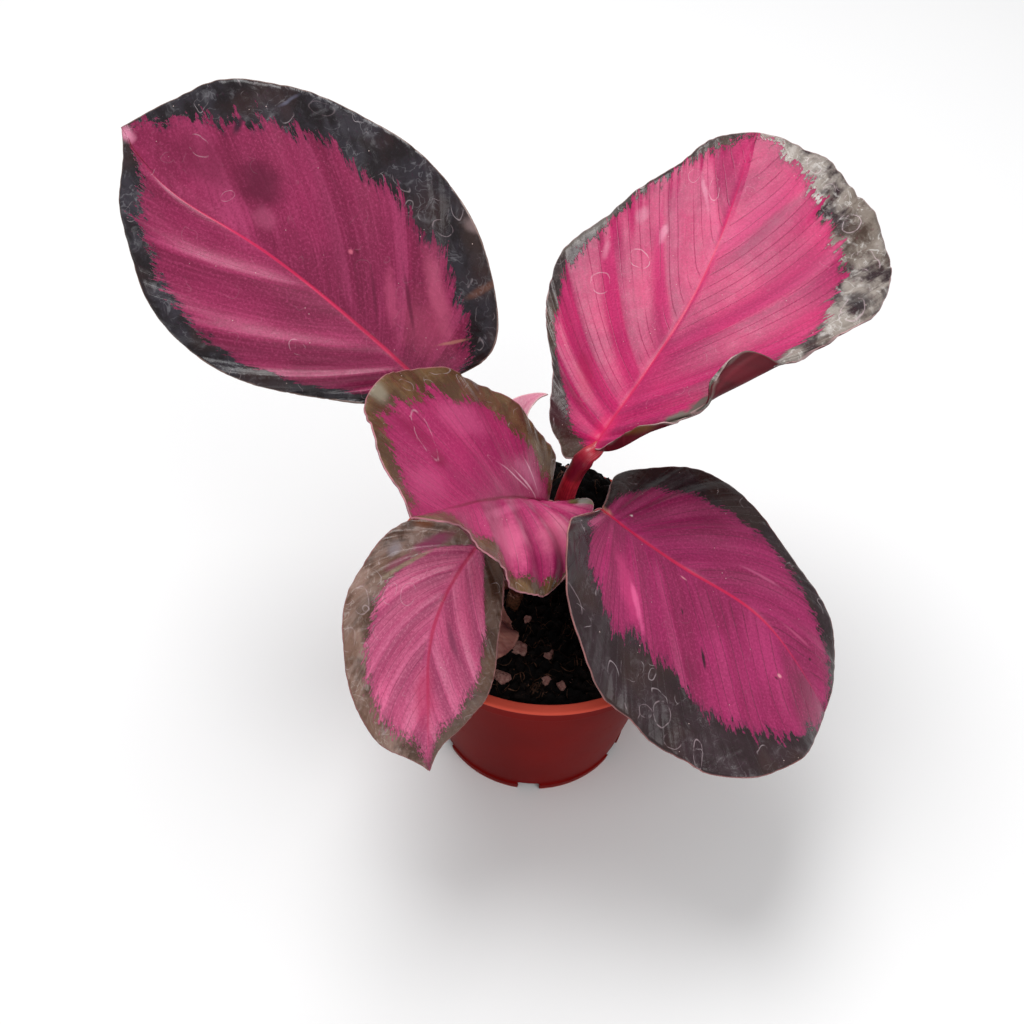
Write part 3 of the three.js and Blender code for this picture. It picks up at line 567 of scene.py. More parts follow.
def blade_point(leaf, side, t, s):
    x, signed = flat_point(leaf, side, t, s)
    is_left = signed >= 0
    halves = (is_left, ~is_left)
    y = np.abs(signed)
    centre, left, normal, u = midrib_frame(leaf, x)
    fold = np.radians(np.where(is_left, *[along_three(values, u) for values in leaf["fold"]]))
    curl = np.radians(np.where(is_left, *[along_three(values, u) for values in leaf["curl"]])) - fold
    turns = []
    for half, here in enumerate(halves):
        for angle, place, width in leaf.get("rolls", NO_PLACES)[half]:
            curl = curl + here * np.radians(angle) * bell(u, place, width)
        for angle, first, last, start, over in leaf.get("turned", NO_PLACES)[half]:
            window = smooth(u, first - TURN_IN, first + TURN_IN) * smooth(last - u, -TURN_OUT, TURN_OUT)
            turns.append((here * np.radians(angle) * window, start, over))
    across = np.zeros_like(x)
    rise = np.zeros_like(x)
    width = np.where(is_left, *leaf["widths"])
    full_width = np.where(is_left, *half_widths(leaf, x))
    for k in range(BEND_PARTS):
        out = y * (k + 0.5) / BEND_PARTS
        slope = fold + curl * (out / width) ** 2
        for turn, start, over in turns:
            slope = slope + turn * smooth(out / full_width, start, start + over)
        across += y / BEND_PARTS * np.cos(slope)
        rise += y / BEND_PARTS * np.sin(slope)
    height, count, phase = leaf["wave"][side]
    taper = np.sqrt(np.maximum(np.sin(np.pi * t), 0))
    rise += height * np.sin(TURN * (count * t + phase)) * s ** 3 * taper
    rise += relief(leaf, side, t, s) * taper
    across = np.where(is_left, across, -across)
    return centre + left * across[..., None] + normal * rise[..., None]


def curve_through(values, t):
    """A smooth curve through values at even steps from 0 to 1."""
    v = np.array([2 * values[0] - values[1], *values, 2 * values[-1] - values[-2]])
    steps = len(values) - 1
    k = np.clip((t * steps).astype(int), 0, steps - 1)
    f = t * steps - k
    a, b, c, d = v[k], v[k + 1], v[k + 2], v[k + 3]
    return b + 0.5 * f * (c - a + f * (2 * a - 5 * b + 4 * c - d + f * (3 * (b - c) + d - a)))


# Meshes


def new_object(name, vertices, faces, materials=(), uses=None, maps=None):
    """A piece at the origin, from points in millimetres. uses holds each face's material, and maps a pair of
    numbers for each vertex, under the map's name."""
    mesh = bpy.data.meshes.new(name)
    mesh.from_pydata((np.asarray(vertices) * MM).tolist(), [], faces)
    mesh.polygons.foreach_set("use_smooth", [True] * len(mesh.polygons))
    for material in materials:
        mesh.materials.append(material)
    if uses is not None:
        mesh.polygons.foreach_set("material_index", uses)
    corners = np.empty(len(mesh.loops), int)
    mesh.loops.foreach_get("vertex_index", corners)
    for title, pairs in (maps or {}).items():
        layer = mesh.uv_layers.new(name=title)
        layer.data.foreach_set("uv", np.asarray(pairs, float)[corners].ravel())
    mesh.update()
    made = bpy.data.objects.new(name, mesh)
    bpy.context.scene.collection.objects.link(made)
    return made


def add_piece(made, slot, *nodes):
    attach(made, "root")
    if nodes:
        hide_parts(*nodes)


def grid_normals(grid):
    """Unit normals of a grid of points, rows from base to tip and columns from left to right."""
    along = np.gradient(grid, axis=0)
    across = np.gradient(grid, axis=1)
    normals = np.cross(along, -across)
    return normals / np.maximum(np.linalg.norm(normals, axis=-1, keepdims=True), 1e-9)


def edge_distances(leaf, x, y):
    """How far each point of the flat blade is from the margin."""
    t = np.linspace(0, 1, 900)
    left_x, left_y = margin_point(leaf, 0, t)
    right_x, right_y = margin_point(leaf, 1, t)
    edge = np.stack([np.concatenate([left_x, right_x]), np.concatenate([left_y, -right_y])], axis=-1)
    out = np.empty_like(x)
    for i in range(len(x)):
        here = np.stack([x[i], y[i]], axis=-1)[:, None]
        out[i] = np.sqrt(((here - edge) ** 2).sum(axis=-1)).min(axis=1)
    return out


def make_blade(name, leaf, rows, half, materials):
    """A blade as a thin closed solid: upper face, lower face with the midrib standing out, and edge."""
    row_t = FIRST_ROW + (1 - FIRST_ROW) * np.linspace(0, 1, rows + 1)[:-1]
    out = np.linspace(0, 1, half + 1) ** 1.25
    halves, flats = [], []
    for side in (0, 1):
        t, s = np.meshgrid(row_t, out[::-1] if side == 0 else out[1:], indexing="ij")
        x, y = flat_point(leaf, side, t, s)
        halves.append(blade_point(leaf, side, t, s))
        edge_x, edge_y = margin_point(leaf, side, t)
        vein = np.hypot(edge_x - vein_start(leaf, t), edge_y)
        reach = (curve_through(leaf["reach"][side], t) - s) * vein
        # Painted light and shade on the folds: one face of each fold gets a lit tone and the other a shaded
        # tone, kept in the folds map for the upper face's colour.
        share = fold_share(leaf, side, t)
        painted_fold_light = (1 - 2 * share) * smooth(np.minimum(share, 1 - share), 0, 0.05)
        fold = leaf["crests"][side][1] * painted_fold_light * smooth(s, 0, 0.12) * smooth(s, 1, 0.8)
        across = rib_line(leaf, x) - y
        flats.append(np.stack([t, -s if side == 0 else s, x, y, reach, fold, across], axis=-1))
    grid = np.concatenate(halves, axis=1)
    flat = np.concatenate(flats, axis=1)
    columns = grid.shape[1]
    normals = grid_normals(grid)
    from_edge = edge_distances(leaf, flat[..., 2], flat[..., 3])
    thickness = EDGE_THICKNESS + (BLADE_THICKNESS - EDGE_THICKNESS) * smooth(from_edge, 0, EDGE_TAPER)
    u = flat[..., 2] / (leaf["length"] + leaf["tip"])
    rib_width = RIB_WIDTHS[1] + (RIB_WIDTHS[0] - RIB_WIDTHS[1]) * (1 - u)
    rib_depth = RIB_DEPTH * (1 - 0.85 * u) * smooth(flat[..., 0], 0, 0.06)
    rib = rib_depth * bell(flat[..., 6], 0, rib_width)
    groove = GROOVE_DEPTH * (1 - u) * bell(flat[..., 6], 0, GROOVE_WIDTH)
    top = grid + normals * (thickness / 2 - groove)[..., None]
    bottom = grid - normals * (thickness / 2 + rib)[..., None]
    tip = blade_point(leaf, 1, np.array([1.0]), np.array([0.0]))[0]
    tip_normal = normals[-1, half]
    count = rows * columns
    vertices = np.concatenate([
        top.reshape(-1, 3), [tip + tip_normal * EDGE_THICKNESS / 2],
        bottom.reshape(-1, 3), [tip - tip_normal * EDGE_THICKNESS / 2],
    ])
    faces, uses = blade_faces(rows, columns, count)
    tip_row = [1, 0, leaf["length"] + leaf["tip"], 0, 1, 0, 0]
    facts = np.concatenate([flat.reshape(-1, 7), [tip_row]])
    edge = np.concatenate([from_edge.ravel(), [0]])
    zone = np.stack([facts[:, 4], edge], axis=-1)
    maps = {"OFBake": bake_places(facts[:, 2:4])}
    for title, pairs in (
        ("veins", facts[:, :2]), ("sheet", facts[:, 2:4] / 10), ("zone", zone), ("folds", facts[:, 5:7]),
    ):
        maps[title] = np.concatenate([pairs, pairs])
    return new_object(name, vertices, faces, materials, uses, maps)


def blade_faces(rows, columns, count):
    """Faces of both sides of a grid that ends in a single point, and of the strip between them."""
    faces, uses = [], []
    tip = count
    under = count + 1
    for i in range(rows - 1):
        for j in range(columns - 1):
            a = i * columns + j
            b = a + columns
            faces += [(a, a + 1, b + 1, b), (under + a, under + b, under + b + 1, under + a + 1)]
            uses += [0, 1]
    last = (rows - 1) * columns
    for j in range(columns - 1):
        a = last + j
        faces += [(a, a + 1, tip), (under + a, under + tip, under + a + 1)]
        uses += [0, 1]
    left = [i * columns for i in range(rows)]
    right = [i * columns + columns - 1 for i in range(rows)]
    loop = left[::-1] + list(range(1, columns)) + right[1:] + [tip]
    for a, b in zip(loop, loop[1:] + loop[:1]):
        faces.append((a, under + a, under + b, b))
        uses.append(2)
    return faces, uses


def bake_places(flat):
    """Lays the upper face in the lower half of the bake map and the lower face in its upper half."""
    low, high = flat.min(axis=0), flat.max(axis=0)
    size = max(high[0] - low[0], (high[1] - low[1]) * 2)
    place = (flat - low) / size * 0.96 + 0.015
    place[:, 1] = np.minimum(place[:, 1], 0.495)
    return np.concatenate([place, place + [0, 0.5]])


def tube(path, radius_at, sides, first_side=(1, 0, 0)):
    """Vertices and faces of a closed tube. radius_at(i, angle) is the radius at point i of the path."""
    path = np.array(path, float)
    ways = np.gradient(path, axis=0)
    ways /= np.linalg.norm(ways, axis=1, keepdims=True)
    side = np.array(first_side, float)
    vertices, faces = [], []
    for i, (place, way) in enumerate(zip(path, ways)):
        side = side - way * side.dot(way)
        side /= np.linalg.norm(side)
        other = np.cross(way, side)
        for k in range(sides):
            angle = TURN * k / sides
            vertices.append(place + radius_at(i, angle) * (side * math.cos(angle) + other * math.sin(angle)))
    for i in range(len(path) - 1):
        for k in range(sides):
            a = i * sides + k
            b = i * sides + (k + 1) % sides
            faces.append((a, b, b + sides, a + sides))
    last = (len(path) - 1) * sides
    faces.append(tuple(range(sides))[::-1])
    faces.append(tuple(range(last, last + sides)))
    return vertices, faces


def gather(parts):
    """Joins lists of vertices and faces into one."""
    vertices, faces = [], []
    for some_vertices, some_faces in parts:
        start = len(vertices)
        vertices.extend(some_vertices)
        faces.extend(tuple(start + k for k in face) for face in some_faces)
    return vertices, faces


# Stalks


def stalk_path(leaf):
    """Centre line and radius of a stalk from inside the crown to where it runs out under the midrib."""
    x, y = leaf["base"]
    radius = leaf["stalk_radius"]
    inside, _, _ = bezier(((x, y, STUB_TOP - 1.2), (x, y, leaf["lift"]), *leaf["stalk"]), STALK_POINTS)
    u = np.linspace(0, 1, len(inside))
    widths = radius * (1 - 0.12 * u) + JOINT_SWELL * bell(u, 0.86, 0.07)
    run, thin, deeper = np.array(RUN_OUT).T
    centre, _, normal, _ = midrib_frame(leaf, run)
    thin = radius * thin
    under = centre - normal * (thin + deeper)[:, None]
    ends = np.concatenate([inside[-1:], under])
    end_widths = np.concatenate([widths[-1:], thin])
    path, radii = list(inside), list(widths)
    for k in range(len(ends) - 1):
        for f in (0.25, 0.5, 0.75, 1):
            path.append(ends[k] + (ends[k + 1] - ends[k]) * f)
            radii.append(end_widths[k] + (end_widths[k + 1] - end_widths[k]) * f)
    path = np.array(path)
    for _ in range(4):
        first = len(inside) - 5
        path[first:-1] = (path[first - 1:-2] + 2 * path[first:-1] + path[first + 1:]) / 4
    return path, np.array(radii), len(inside)


def make_stalk(name, leaf, material):
    path, radii, stalk_points = stalk_path(leaf)

    def radius_at(i, angle):
        u = min(i / (stalk_points - 1), 1)
        sheath = SHEATH_SWELL * float(smooth(0.5 - u, 0, 0.25))
        wrapped = sheath * (0.3 + 0.7 * angle / TURN)
        ridges = 1 + 0.05 * math.cos(angle * 2) + 0.018 * math.sin(9 * angle)
        return radii[i] * ridges + wrapped

    vertices, faces = tube(path, radius_at, STALK_SIDES)
    length = np.concatenate([[0], np.cumsum(np.linalg.norm(np.diff(path, axis=0), axis=1))])
    pairs = [(length[i] / length[stalk_points - 1], k / STALK_SIDES)
             for i in range(len(path)) for k in range(STALK_SIDES)]
    return new_object(name, vertices, faces, [material], maps={"along": pairs})


def make_sheath(name, leaf, material):
    """The torn papery skin at a stalk's foot: narrow strips that peel away from it."""
    path, radii, _ = stalk_path(leaf)
    draws = random.Random(int(leaf["stalk_radius"] * 100))
    parts = []
    for _ in range(SHEATH_STRIPS):
        turn = draws.uniform(0, TURN)
        first = draws.randint(3, 10)
        steps = draws.randint(8, 16)
        width = draws.uniform(0.2, 0.5)
        peel = draws.uniform(0.1, 0.9)
        top, low = [], []
        for k in range(steps + 1):
            f = k / steps
            centre = path[first + k]
            way = path[first + k + 1] - centre
            way = way / np.linalg.norm(way)
            side = np.cross(way, [0, 1, 0.2])
            side = side / np.linalg.norm(side)
            other = np.cross(way, side)
            for list_of_points, lift in ((top, 0.1), (low, 0.04)):
                for edge in (-1, 1):
                    angle = turn + edge * width * (1 - f) ** 0.6 / 2 + 0.3 * f * math.sin(3 * f + turn)
                    out = radii[first + k] * 1.08 + SHEATH_SWELL + lift + peel * f ** 3
                    list_of_points.append(centre + out * (side * math.cos(angle) + other * math.sin(angle)))
        vertices = top + low
        start = len(top)
        faces = []
        for k in range(steps):
            a = 2 * k
            faces.append((a, a + 1, a + 3, a + 2))
            faces.append((start + a, start + a + 2, start + a + 3, start + a + 1))
            faces.append((a, a + 2, start + a + 2, start + a))
            faces.append((a + 1, start + a + 1, start + a + 3, a + 3))
        faces.append((0, start, start + 1, 1))
        faces.append((2 * steps, 2 * steps + 1, start + 2 * steps + 1, start + 2 * steps))
        parts.append((vertices, faces))
    return new_object(name, *gather(parts), [material])


# Pot


def arc(centre, radius, start, end, steps):
    """Points of a circular arc in a profile, angles in degrees from the outside."""
    turns = np.radians(np.linspace(start, end, steps))
    return [(centre[0] + radius * math.cos(a), centre[1] + radius * math.sin(a)) for a in turns]


def pot_profile():
    """Half of the pot's section: from the axis out, up to the lip, down inside and back to the axis."""
    collar_foot = POT_HEIGHT - COLLAR_HEIGHT
    collar_radius = POT_TOP_RADIUS - COLLAR_FLARE
    body_top = collar_radius - COLLAR_STEP
    inside_top = POT_TOP_RADIUS - RIM_WIDTH
    profile = [
        (0, 0), (6, 0), (12, 0), (17, 0), (POT_FOOT_RADIUS - FOOT_ROUND, 0),
        *arc((POT_FOOT_RADIUS - FOOT_ROUND, FOOT_ROUND), FOOT_ROUND, -60, 0, 4),
        (POT_FOOT_RADIUS + RING_ROUND, FOOT_RING - 0.35),
        *arc((POT_FOOT_RADIUS + 0.02, FOOT_RING - 0.2), RING_ROUND, 0, 80, 4),
        (POT_FOOT_RADIUS + 0.02, FOOT_RING + 0.45),
    ]
    for f in np.linspace(0, 1, 26)[1:-1]:
        height = FOOT_RING + 0.4 + (collar_foot - 1 - FOOT_RING) * f
        profile.append((POT_FOOT_RADIUS + (body_top - POT_FOOT_RADIUS) * f, height))
    profile += [
        (body_top, collar_foot - 0.7), (body_top + 0.25, collar_foot - 0.35),
        (collar_radius - COLLAR_ROUND, collar_foot - 0.05),
        *arc((collar_radius - COLLAR_ROUND, collar_foot + 0.25), COLLAR_ROUND, -80, 0, 5),
    ]
    for f in np.linspace(0.1, 1, 8):
        height = collar_foot + COLLAR_ROUND + (COLLAR_HEIGHT - LIP_HEIGHT - 0.9) * f
        profile.append((collar_radius + LIP_ROUND * f, height))
    profile.append((POT_TOP_RADIUS - 0.55, POT_HEIGHT - LIP_HEIGHT))
    profile += arc((POT_TOP_RADIUS - LIP_CORNER, POT_HEIGHT - LIP_CORNER), LIP_CORNER, -50, 90, 9)
    profile += arc((inside_top + INNER_CORNER, POT_HEIGHT - INNER_CORNER), INNER_CORNER, 90, 180, 6)
    for f in np.linspace(0.2, 1, 6):
        height = POT_HEIGHT - INNER_CORNER - (COLLAR_HEIGHT - INNER_CORNER) * f
        profile.append((inside_top - 0.5 * f, height))
    profile += [
        (body_top - POT_WALL, collar_foot - 0.9), (POT_FOOT_RADIUS - POT_WALL, POT_FLOOR),
        (10, POT_FLOOR), (0, POT_FLOOR),
    ]
    return profile


def revolved(rings, sides):
    """A closed surface round the axis, from rings of a radius and a height, the first and last of them
    points. A ring without a height follows the peat."""
    vertices = [(0, 0, rings[0][1]), (0, 0, rings[-1][1])]
    inner = rings[1:-1]
    for radius, height in inner:
        for k in range(sides):
            angle = TURN * k / sides
            x, y = radius * math.sin(angle), -radius * math.cos(angle)
            vertices.append((x, y, crumbled(x, y) if height is None else height))
    faces = []
    at = lambda i, k: 2 + i * sides + k % sides
    for k in range(sides):
        faces.append((0, at(0, k + 1), at(0, k)))
        for i in range(len(inner) - 1):
            faces.append((at(i, k), at(i, k + 1), at(i + 1, k + 1), at(i + 1, k)))
        faces.append((at(len(inner) - 1, k), at(len(inner) - 1, k + 1), 1))
    return vertices, faces


def apply_modifiers(made):
    """Puts the result of an object's modifiers into its mesh."""
    graph = bpy.context.evaluated_depsgraph_get()
    mesh = bpy.data.meshes.new_from_object(made.evaluated_get(graph))
    made.modifiers.clear()
    made.data = mesh


def make_pot(material):
    vertices, faces = revolved(pot_profile(), POT_SIDES)
    pot = new_object("pot_shell", vertices, faces, [material])
    cutters = []
    for k in range(DRAIN_HOLES):
        angle = TURN * k / DRAIN_HOLES
        x, y = DRAIN_CIRCLE * math.sin(angle), -DRAIN_CIRCLE * math.cos(angle)
        path = [(x, y, z) for z in (-4, DRAIN_TOP - DRAIN_BEVEL, DRAIN_TOP)]
        cutters.append(tube(path, lambda i, a: DRAIN_RADIUS - (DRAIN_BEVEL if i == 2 else 0), DRAIN_SIDES))
    cutter = new_object("drain_cutter", *gather(cutters), [material])
    cut = pot.modifiers.new("drains", "BOOLEAN")
    cut.operation = "DIFFERENCE"
    cut.solver = "EXACT"
    cut.object = cutter
    apply_modifiers(pot)
    bpy.data.objects.remove(cutter)
    pot.data.polygons.foreach_set("use_smooth", [True] * len(pot.data.polygons))
    add_piece(pot, "pot", "pot")


# Peat


def soil_height(x, y):
    crown = CROWN_MOUND * bell(np.hypot(x - CROWN[0], y - CROWN[1]), 0, 11)
    back = BACK_MOUND * bell(x, 4, 15) * bell(y, 23, 8)
    grain = np.sin(1.9 * x + 0.7 * y) * np.sin(1.3 * y - 0.8 * x)
    grain = grain + 0.7 * np.sin(3.1 * x - 2.3 * y + 1) + 0.6 * np.sin(0.8 * x + 2.9 * y + 2)
    return SOIL_LEVEL + crown + back + SOIL_ROUGHNESS * grain


def crumbled(x, y):
    """The soil's height with its fine crumbs."""
    coarse = noise.fractal(Vector((x * 0.45, y * 0.45, 3)), 0.7, 2.1, 4)
    cells = noise.voronoi(Vector((x * 0.8, y * 0.8, 7)))[0]
    return float(soil_height(x, y)) + 0.5 * coarse + 0.55 * (0.45 - cells[0])


def make_peat(material):
    collar_foot = POT_HEIGHT - COLLAR_HEIGHT
    collar_inside = POT_TOP_RADIUS - RIM_WIDTH - 0.5
    body_top = POT_TOP_RADIUS - COLLAR_FLARE - COLLAR_STEP - POT_WALL
    top_radius = collar_inside - GAP + 0.02
    rings = [(0, POT_FLOOR + GAP), (POT_FOOT_RADIUS - POT_WALL - GAP - 0.1, POT_FLOOR + GAP),
             (body_top - GAP - 0.05, collar_foot - 0.5), (collar_inside - GAP - 0.05, collar_foot + 0.4)]
    rings += [(top_radius * k / SOIL_RINGS, None) for k in range(SOIL_RINGS, 0, -1)]
    rings.append((0, crumbled(0, 0)))
    add_piece(new_object("peat", *revolved(rings, SOIL_SIDES), [material]), "soil", "soil")


def lump(place, radius, draws, roughness, subdivisions, longest=1.35, flattest=0.65):
    """An irregular grain: a small sphere with an uneven surface, stretched, flattened and turned."""
    form = bmesh.new()
    bmesh.ops.create_icosphere(form, subdivisions=subdivisions, radius=1)
    seed = Vector((draws.uniform(0, 90), draws.uniform(0, 90), draws.uniform(0, 90)))
    turn = Matrix.Rotation(draws.uniform(0, TURN), 3, "Z")
    turn = turn @ Matrix.Rotation(draws.uniform(-0.7, 0.7), 3, "X")
    stretch = Vector((draws.uniform(1, longest), 1, draws.uniform(flattest, 0.9)))
    vertices = []
    for v in form.verts:
        coarse = noise.noise(v.co * 1.1 + seed)
        fine = noise.noise(v.co * 3.1 + seed)
        chipped = max(abs(v.co.x), abs(v.co.y), abs(v.co.z)) * 0.5 + 0.6
        p = v.co / chipped * (1 + roughness * coarse + 0.4 * roughness * fine)
        p = turn @ Vector((p.x * stretch.x, p.y * stretch.y, p.z * stretch.z))
        vertices.append(tuple(Vector(place) + p * radius))
    form.verts.index_update()
    faces = [tuple(v.index for v in face.verts) for face in form.faces]
    form.free()
    return vertices, faces


def soil_spot(draws, least):
    radius = least + (SOIL_REACH - least) * math.sqrt(draws.random())
    angle = TURN * draws.random()
    return radius * math.sin(angle), -radius * math.cos(angle)


def strewn(draws, count, least, sizes, power, lift, *form):
    """Lumps over the peat, of radii between the two sizes, raised by a share of their radius."""
    parts = []
    for _ in range(count):
        x, y = soil_spot(draws, least)
        radius = draws.uniform(*sizes) ** power
        parts.append(lump((x, y, crumbled(x, y) + lift * radius), radius, draws, *form))
    return parts


def make_crumbs(material):
    parts = strewn(random.Random(11), CRUMBS, 2, (0.2, 0.85), 1.4, 0.1, 0.9, 2, 2.6, 0.3)
    add_piece(new_object("peat_crumbs", *gather(parts), [material]), "soil")


def make_pumice(material):
    draws = random.Random(5)
    parts = []
    for x, y, radius in PUMICE:
        parts.append(lump((x, y, crumbled(x, y) + 0.45 * radius), radius, draws, 0.35, 4))
    parts += strewn(draws, SMALL_PUMICE, 5, (0.2, 0.6), 1, 0.3, 0.4, 3)
    add_piece(new_object("pumice_grains", *gather(parts), [material]), "soil")


def make_fibres(material):
    draws = random.Random(23)
    parts = []
    for _ in range(FIBRES):
        x, y = soil_spot(draws, 1)
        heading = draws.uniform(0, TURN)
        length = draws.uniform(1.5, 6)
        bend = draws.uniform(-0.5, 0.5)
        lift = draws.uniform(0, 0.9) ** 2
        thickness = draws.uniform(0.05, 0.13)
        path = []
        for k in range(FIBRE_POINTS):
            f = k / (FIBRE_POINTS - 1)
            x += length / (FIBRE_POINTS - 1) * math.cos(heading)
            y += length / (FIBRE_POINTS - 1) * math.sin(heading)
            heading += bend + draws.uniform(-0.35, 0.35)
            if math.hypot(x, y) > SOIL_REACH + 0.1:
                break
            path.append((x, y, crumbled(x, y) + 0.12 + lift * 2.2 * f * (1.4 - f)))
        if len(path) > 3:
            count = len(path)
            parts.append(tube(path, lambda i, a: thickness * (1.1 - i / count), 4))
    add_piece(new_object("peat_fibres", *gather(parts), [material]), "soil")


def root_radius(i, angle):
    return ROOT_RADIUS * (1.3 - 0.6 * i / (ROOT_POINTS - 1)) + 0.12 * math.sin(i * 1.9 + angle)


def make_crown(material):
    """The rootstock, its leaf bases and its roots, melted into one body."""
    parts = [lump(CROWN, CROWN_RADIUS * 0.86, random.Random(3), 0.1, 4)]
    for leaf in LEAVES.values():
        x, y = leaf["base"]
        width = leaf["stalk_radius"] + STUB_MARGIN
        path = [(x, y, CROWN[2] + (STUB_TOP - 0.05 - CROWN[2]) * k / 6) for k in range(7)]
        parts.append(tube(path, lambda i, a: width + STUB_FLARE * (1 - i / 6), 20))
    for k in range(ROOTS):
        angle = TURN * (k + 0.5) / ROOTS
        lean = 0.5 + 0.18 * math.sin(5 * k)
        out = np.array([math.cos(angle), math.sin(angle), 0])
        start = np.array(CROWN) + 3 * out
        end = start + 9 * lean * out - [0, 0, ROOT_LENGTH]
        middle = start + 5 * out - [0, 0, ROOT_LENGTH * 0.45]
        path = [(1 - f) ** 2 * start + 2 * f * (1 - f) * middle + f * f * end
                for f in np.linspace(0, 1, ROOT_POINTS)]
        parts.append(tube(path, root_radius, 10))
    crown = new_object("crown", *gather(parts), [material])
    melt = crown.modifiers.new("melt", "REMESH")
    melt.mode = "VOXEL"
    melt.voxel_size = MELT_SIZE * MM
    apply_modifiers(crown)
    crown.data.polygons.foreach_set("use_smooth", [True] * len(crown.data.polygons))
    add_piece(crown, "roots", "crown_and_roots")


# Materials


def colour(red, green, blue):
    """A linear colour from screen values of 0 to 255."""
    linear = []
    for c in (red, green, blue):
        linear.append(c / 255 / 12.92 if c <= 10 else ((c / 255 + 0.055) / 1.055) ** 2.4)
    return (*linear, 1)


class Shader:
    """Builds a node material a step at a time. Tones are screen values of 0 to 255 or a node's output."""

    def __init__(self, name):
        self.material = bpy.data.materials.new(name)
        self.material.use_nodes = True
        self.nodes = self.material.node_tree.nodes
        self.nodes.clear()

    def node(self, kind, inputs, **settings):
        """A node with numbers, or other nodes' outputs, in its inputs."""
        made = self.nodes.new(f"ShaderNode{kind}")
        for name, value in settings.items():
            setattr(made, name, value)
        for name, value in inputs.items():
            if isinstance(value, bpy.types.NodeSocket):
                self.material.node_tree.links.new(value, made.inputs[name])
            else:
                made.inputs[name].default_value = value
        return made

    def math(self, operation, a, b=0):
        return self.node("Math", {0: a, 1: b}, operation=operation).outputs[0]

    def add(self, a, b):
        return self.math("ADD", a, b)

    def times(self, a, b):
        return self.math("MULTIPLY", a, b)

    def size(self, a):
        """A number without its sign."""
        return self.math("ABSOLUTE", a)

    def step(self, value, low, high):
        """0 below low and 1 above high, or the other way round where low is the larger."""
        falls = low > high
        inputs = {"Value": value, "From Min": min(low, high), "From Max": max(low, high)}
        inputs.update({"To Min": int(falls), "To Max": int(not falls)})
        return self.node("MapRange", inputs, interpolation_type="SMOOTHSTEP").outputs["Result"]

    def mix(self, amount, a, b):
        a, b = (tone if isinstance(tone, bpy.types.NodeSocket) else colour(*tone) for tone in (a, b))
        return self.node("Mix", {0: amount, 6: a, 7: b}, data_type="RGBA").outputs[2]

    def tint(self, body, value, low, high, strength, tone):
        """Lays a tone over a surface, more of it as value goes from low to high."""
        return self.mix(self.times(self.step(value, low, high), strength), body, tone)

    def blend(self, amount, a, b):
        """A number between a and b."""
        return self.node("Mix", {0: amount, 2: a, 3: b}).outputs[0]

    def map(self, name):
        return self.node("UVMap", {}, uv_map=name).outputs["UV"]

    def split(self, vector):
        return self.node("SeparateXYZ", {0: vector}).outputs

    def place(self):
        return self.node("TexCoord", {}).outputs["Object"]

    def stretch(self, vector, x, y, z=1, shift=(0, 0, 0)):
        return self.node("Mapping", {"Vector": vector, "Scale": (x, y, z), "Location": shift}).outputs[0]

    def noise(self, vector, scale, detail=2, roughness=0.5, distortion=0, output="Fac"):
        inputs = {"Vector": vector, "Scale": scale, "Detail": detail, "Roughness": roughness}
        return self.node("TexNoise", {**inputs, "Distortion": distortion}).outputs[output]

    def cells(self, vector, scale):
        return self.node("TexVoronoi", {"Vector": vector, "Scale": scale}).outputs["Distance"]

    def warped(self, vector, scale, amount):
        """The coordinates, bent by an uneven amount."""
        inputs = {0: self.noise(vector, scale, output="Color"), 1: (amount, amount, 0), 2: vector}
        return self.node("VectorMath", inputs, operation="MULTIPLY_ADD").outputs[0]

    def from_oval(self, sheet, x, y, length, width, turn):
        """How far each place is from the middle of an oval, with 1 at its rim."""
        inputs = {"Vector": sheet, "Location": (x / 10, y / 10, 0), "Scale": (length / 10, width / 10, 1)}
        inputs["Rotation"] = (0, 0, math.radians(turn))
        oval = self.node("Mapping", inputs, vector_type="TEXTURE")
        return self.node("VectorMath", {0: oval.outputs[0]}, operation="LENGTH").outputs["Value"]

    def bump(self, height, strength, distance):
        return self.node("Bump", {"Height": height, "Strength": strength, "Distance": distance}).outputs[0]

    def finish(self, body, roughness, normal=None, specular=0.5):
        inputs = {"Base Color": body, "Roughness": roughness, "Specular IOR Level": specular}
        if normal is not None:
            inputs["Normal"] = normal
        shader = self.node("BsdfPrincipled", inputs)
        self.node("OutputMaterial", {"Surface": shader.outputs[0]})
        return self.material


def spotted(m, surface, sheet, spots, ragged):
    """Lays soft-edged oval spots over a leaf's colour."""
    for *oval, tone, strength in spots:
        reach = m.add(m.from_oval(sheet, *oval), m.times(m.add(ragged, -0.5), 0.9))
        surface = m.tint(surface, reach, 1.05, 0.25, strength, tone)
    return surface


def looped(m, surface, sheet, loops, ragged):
    """Lays thin, faint, broken oval lines over a leaf's colour, where dried drops left a rim."""
    bent = m.warped(sheet, 2.6, 0.12)
    for x, y, length, width, turn, strength in loops:
        rim = m.size(m.add(m.from_oval(bent, x + 0.6, y + 0.6, length, width, turn), -1))
        part = m.times(m.step(rim, 0.08, 0.02), m.step(ragged, 0.42, 0.56))
        surface = m.mix(m.times(part, strength * 0.6), surface, LOOP_TONE)
    return surface


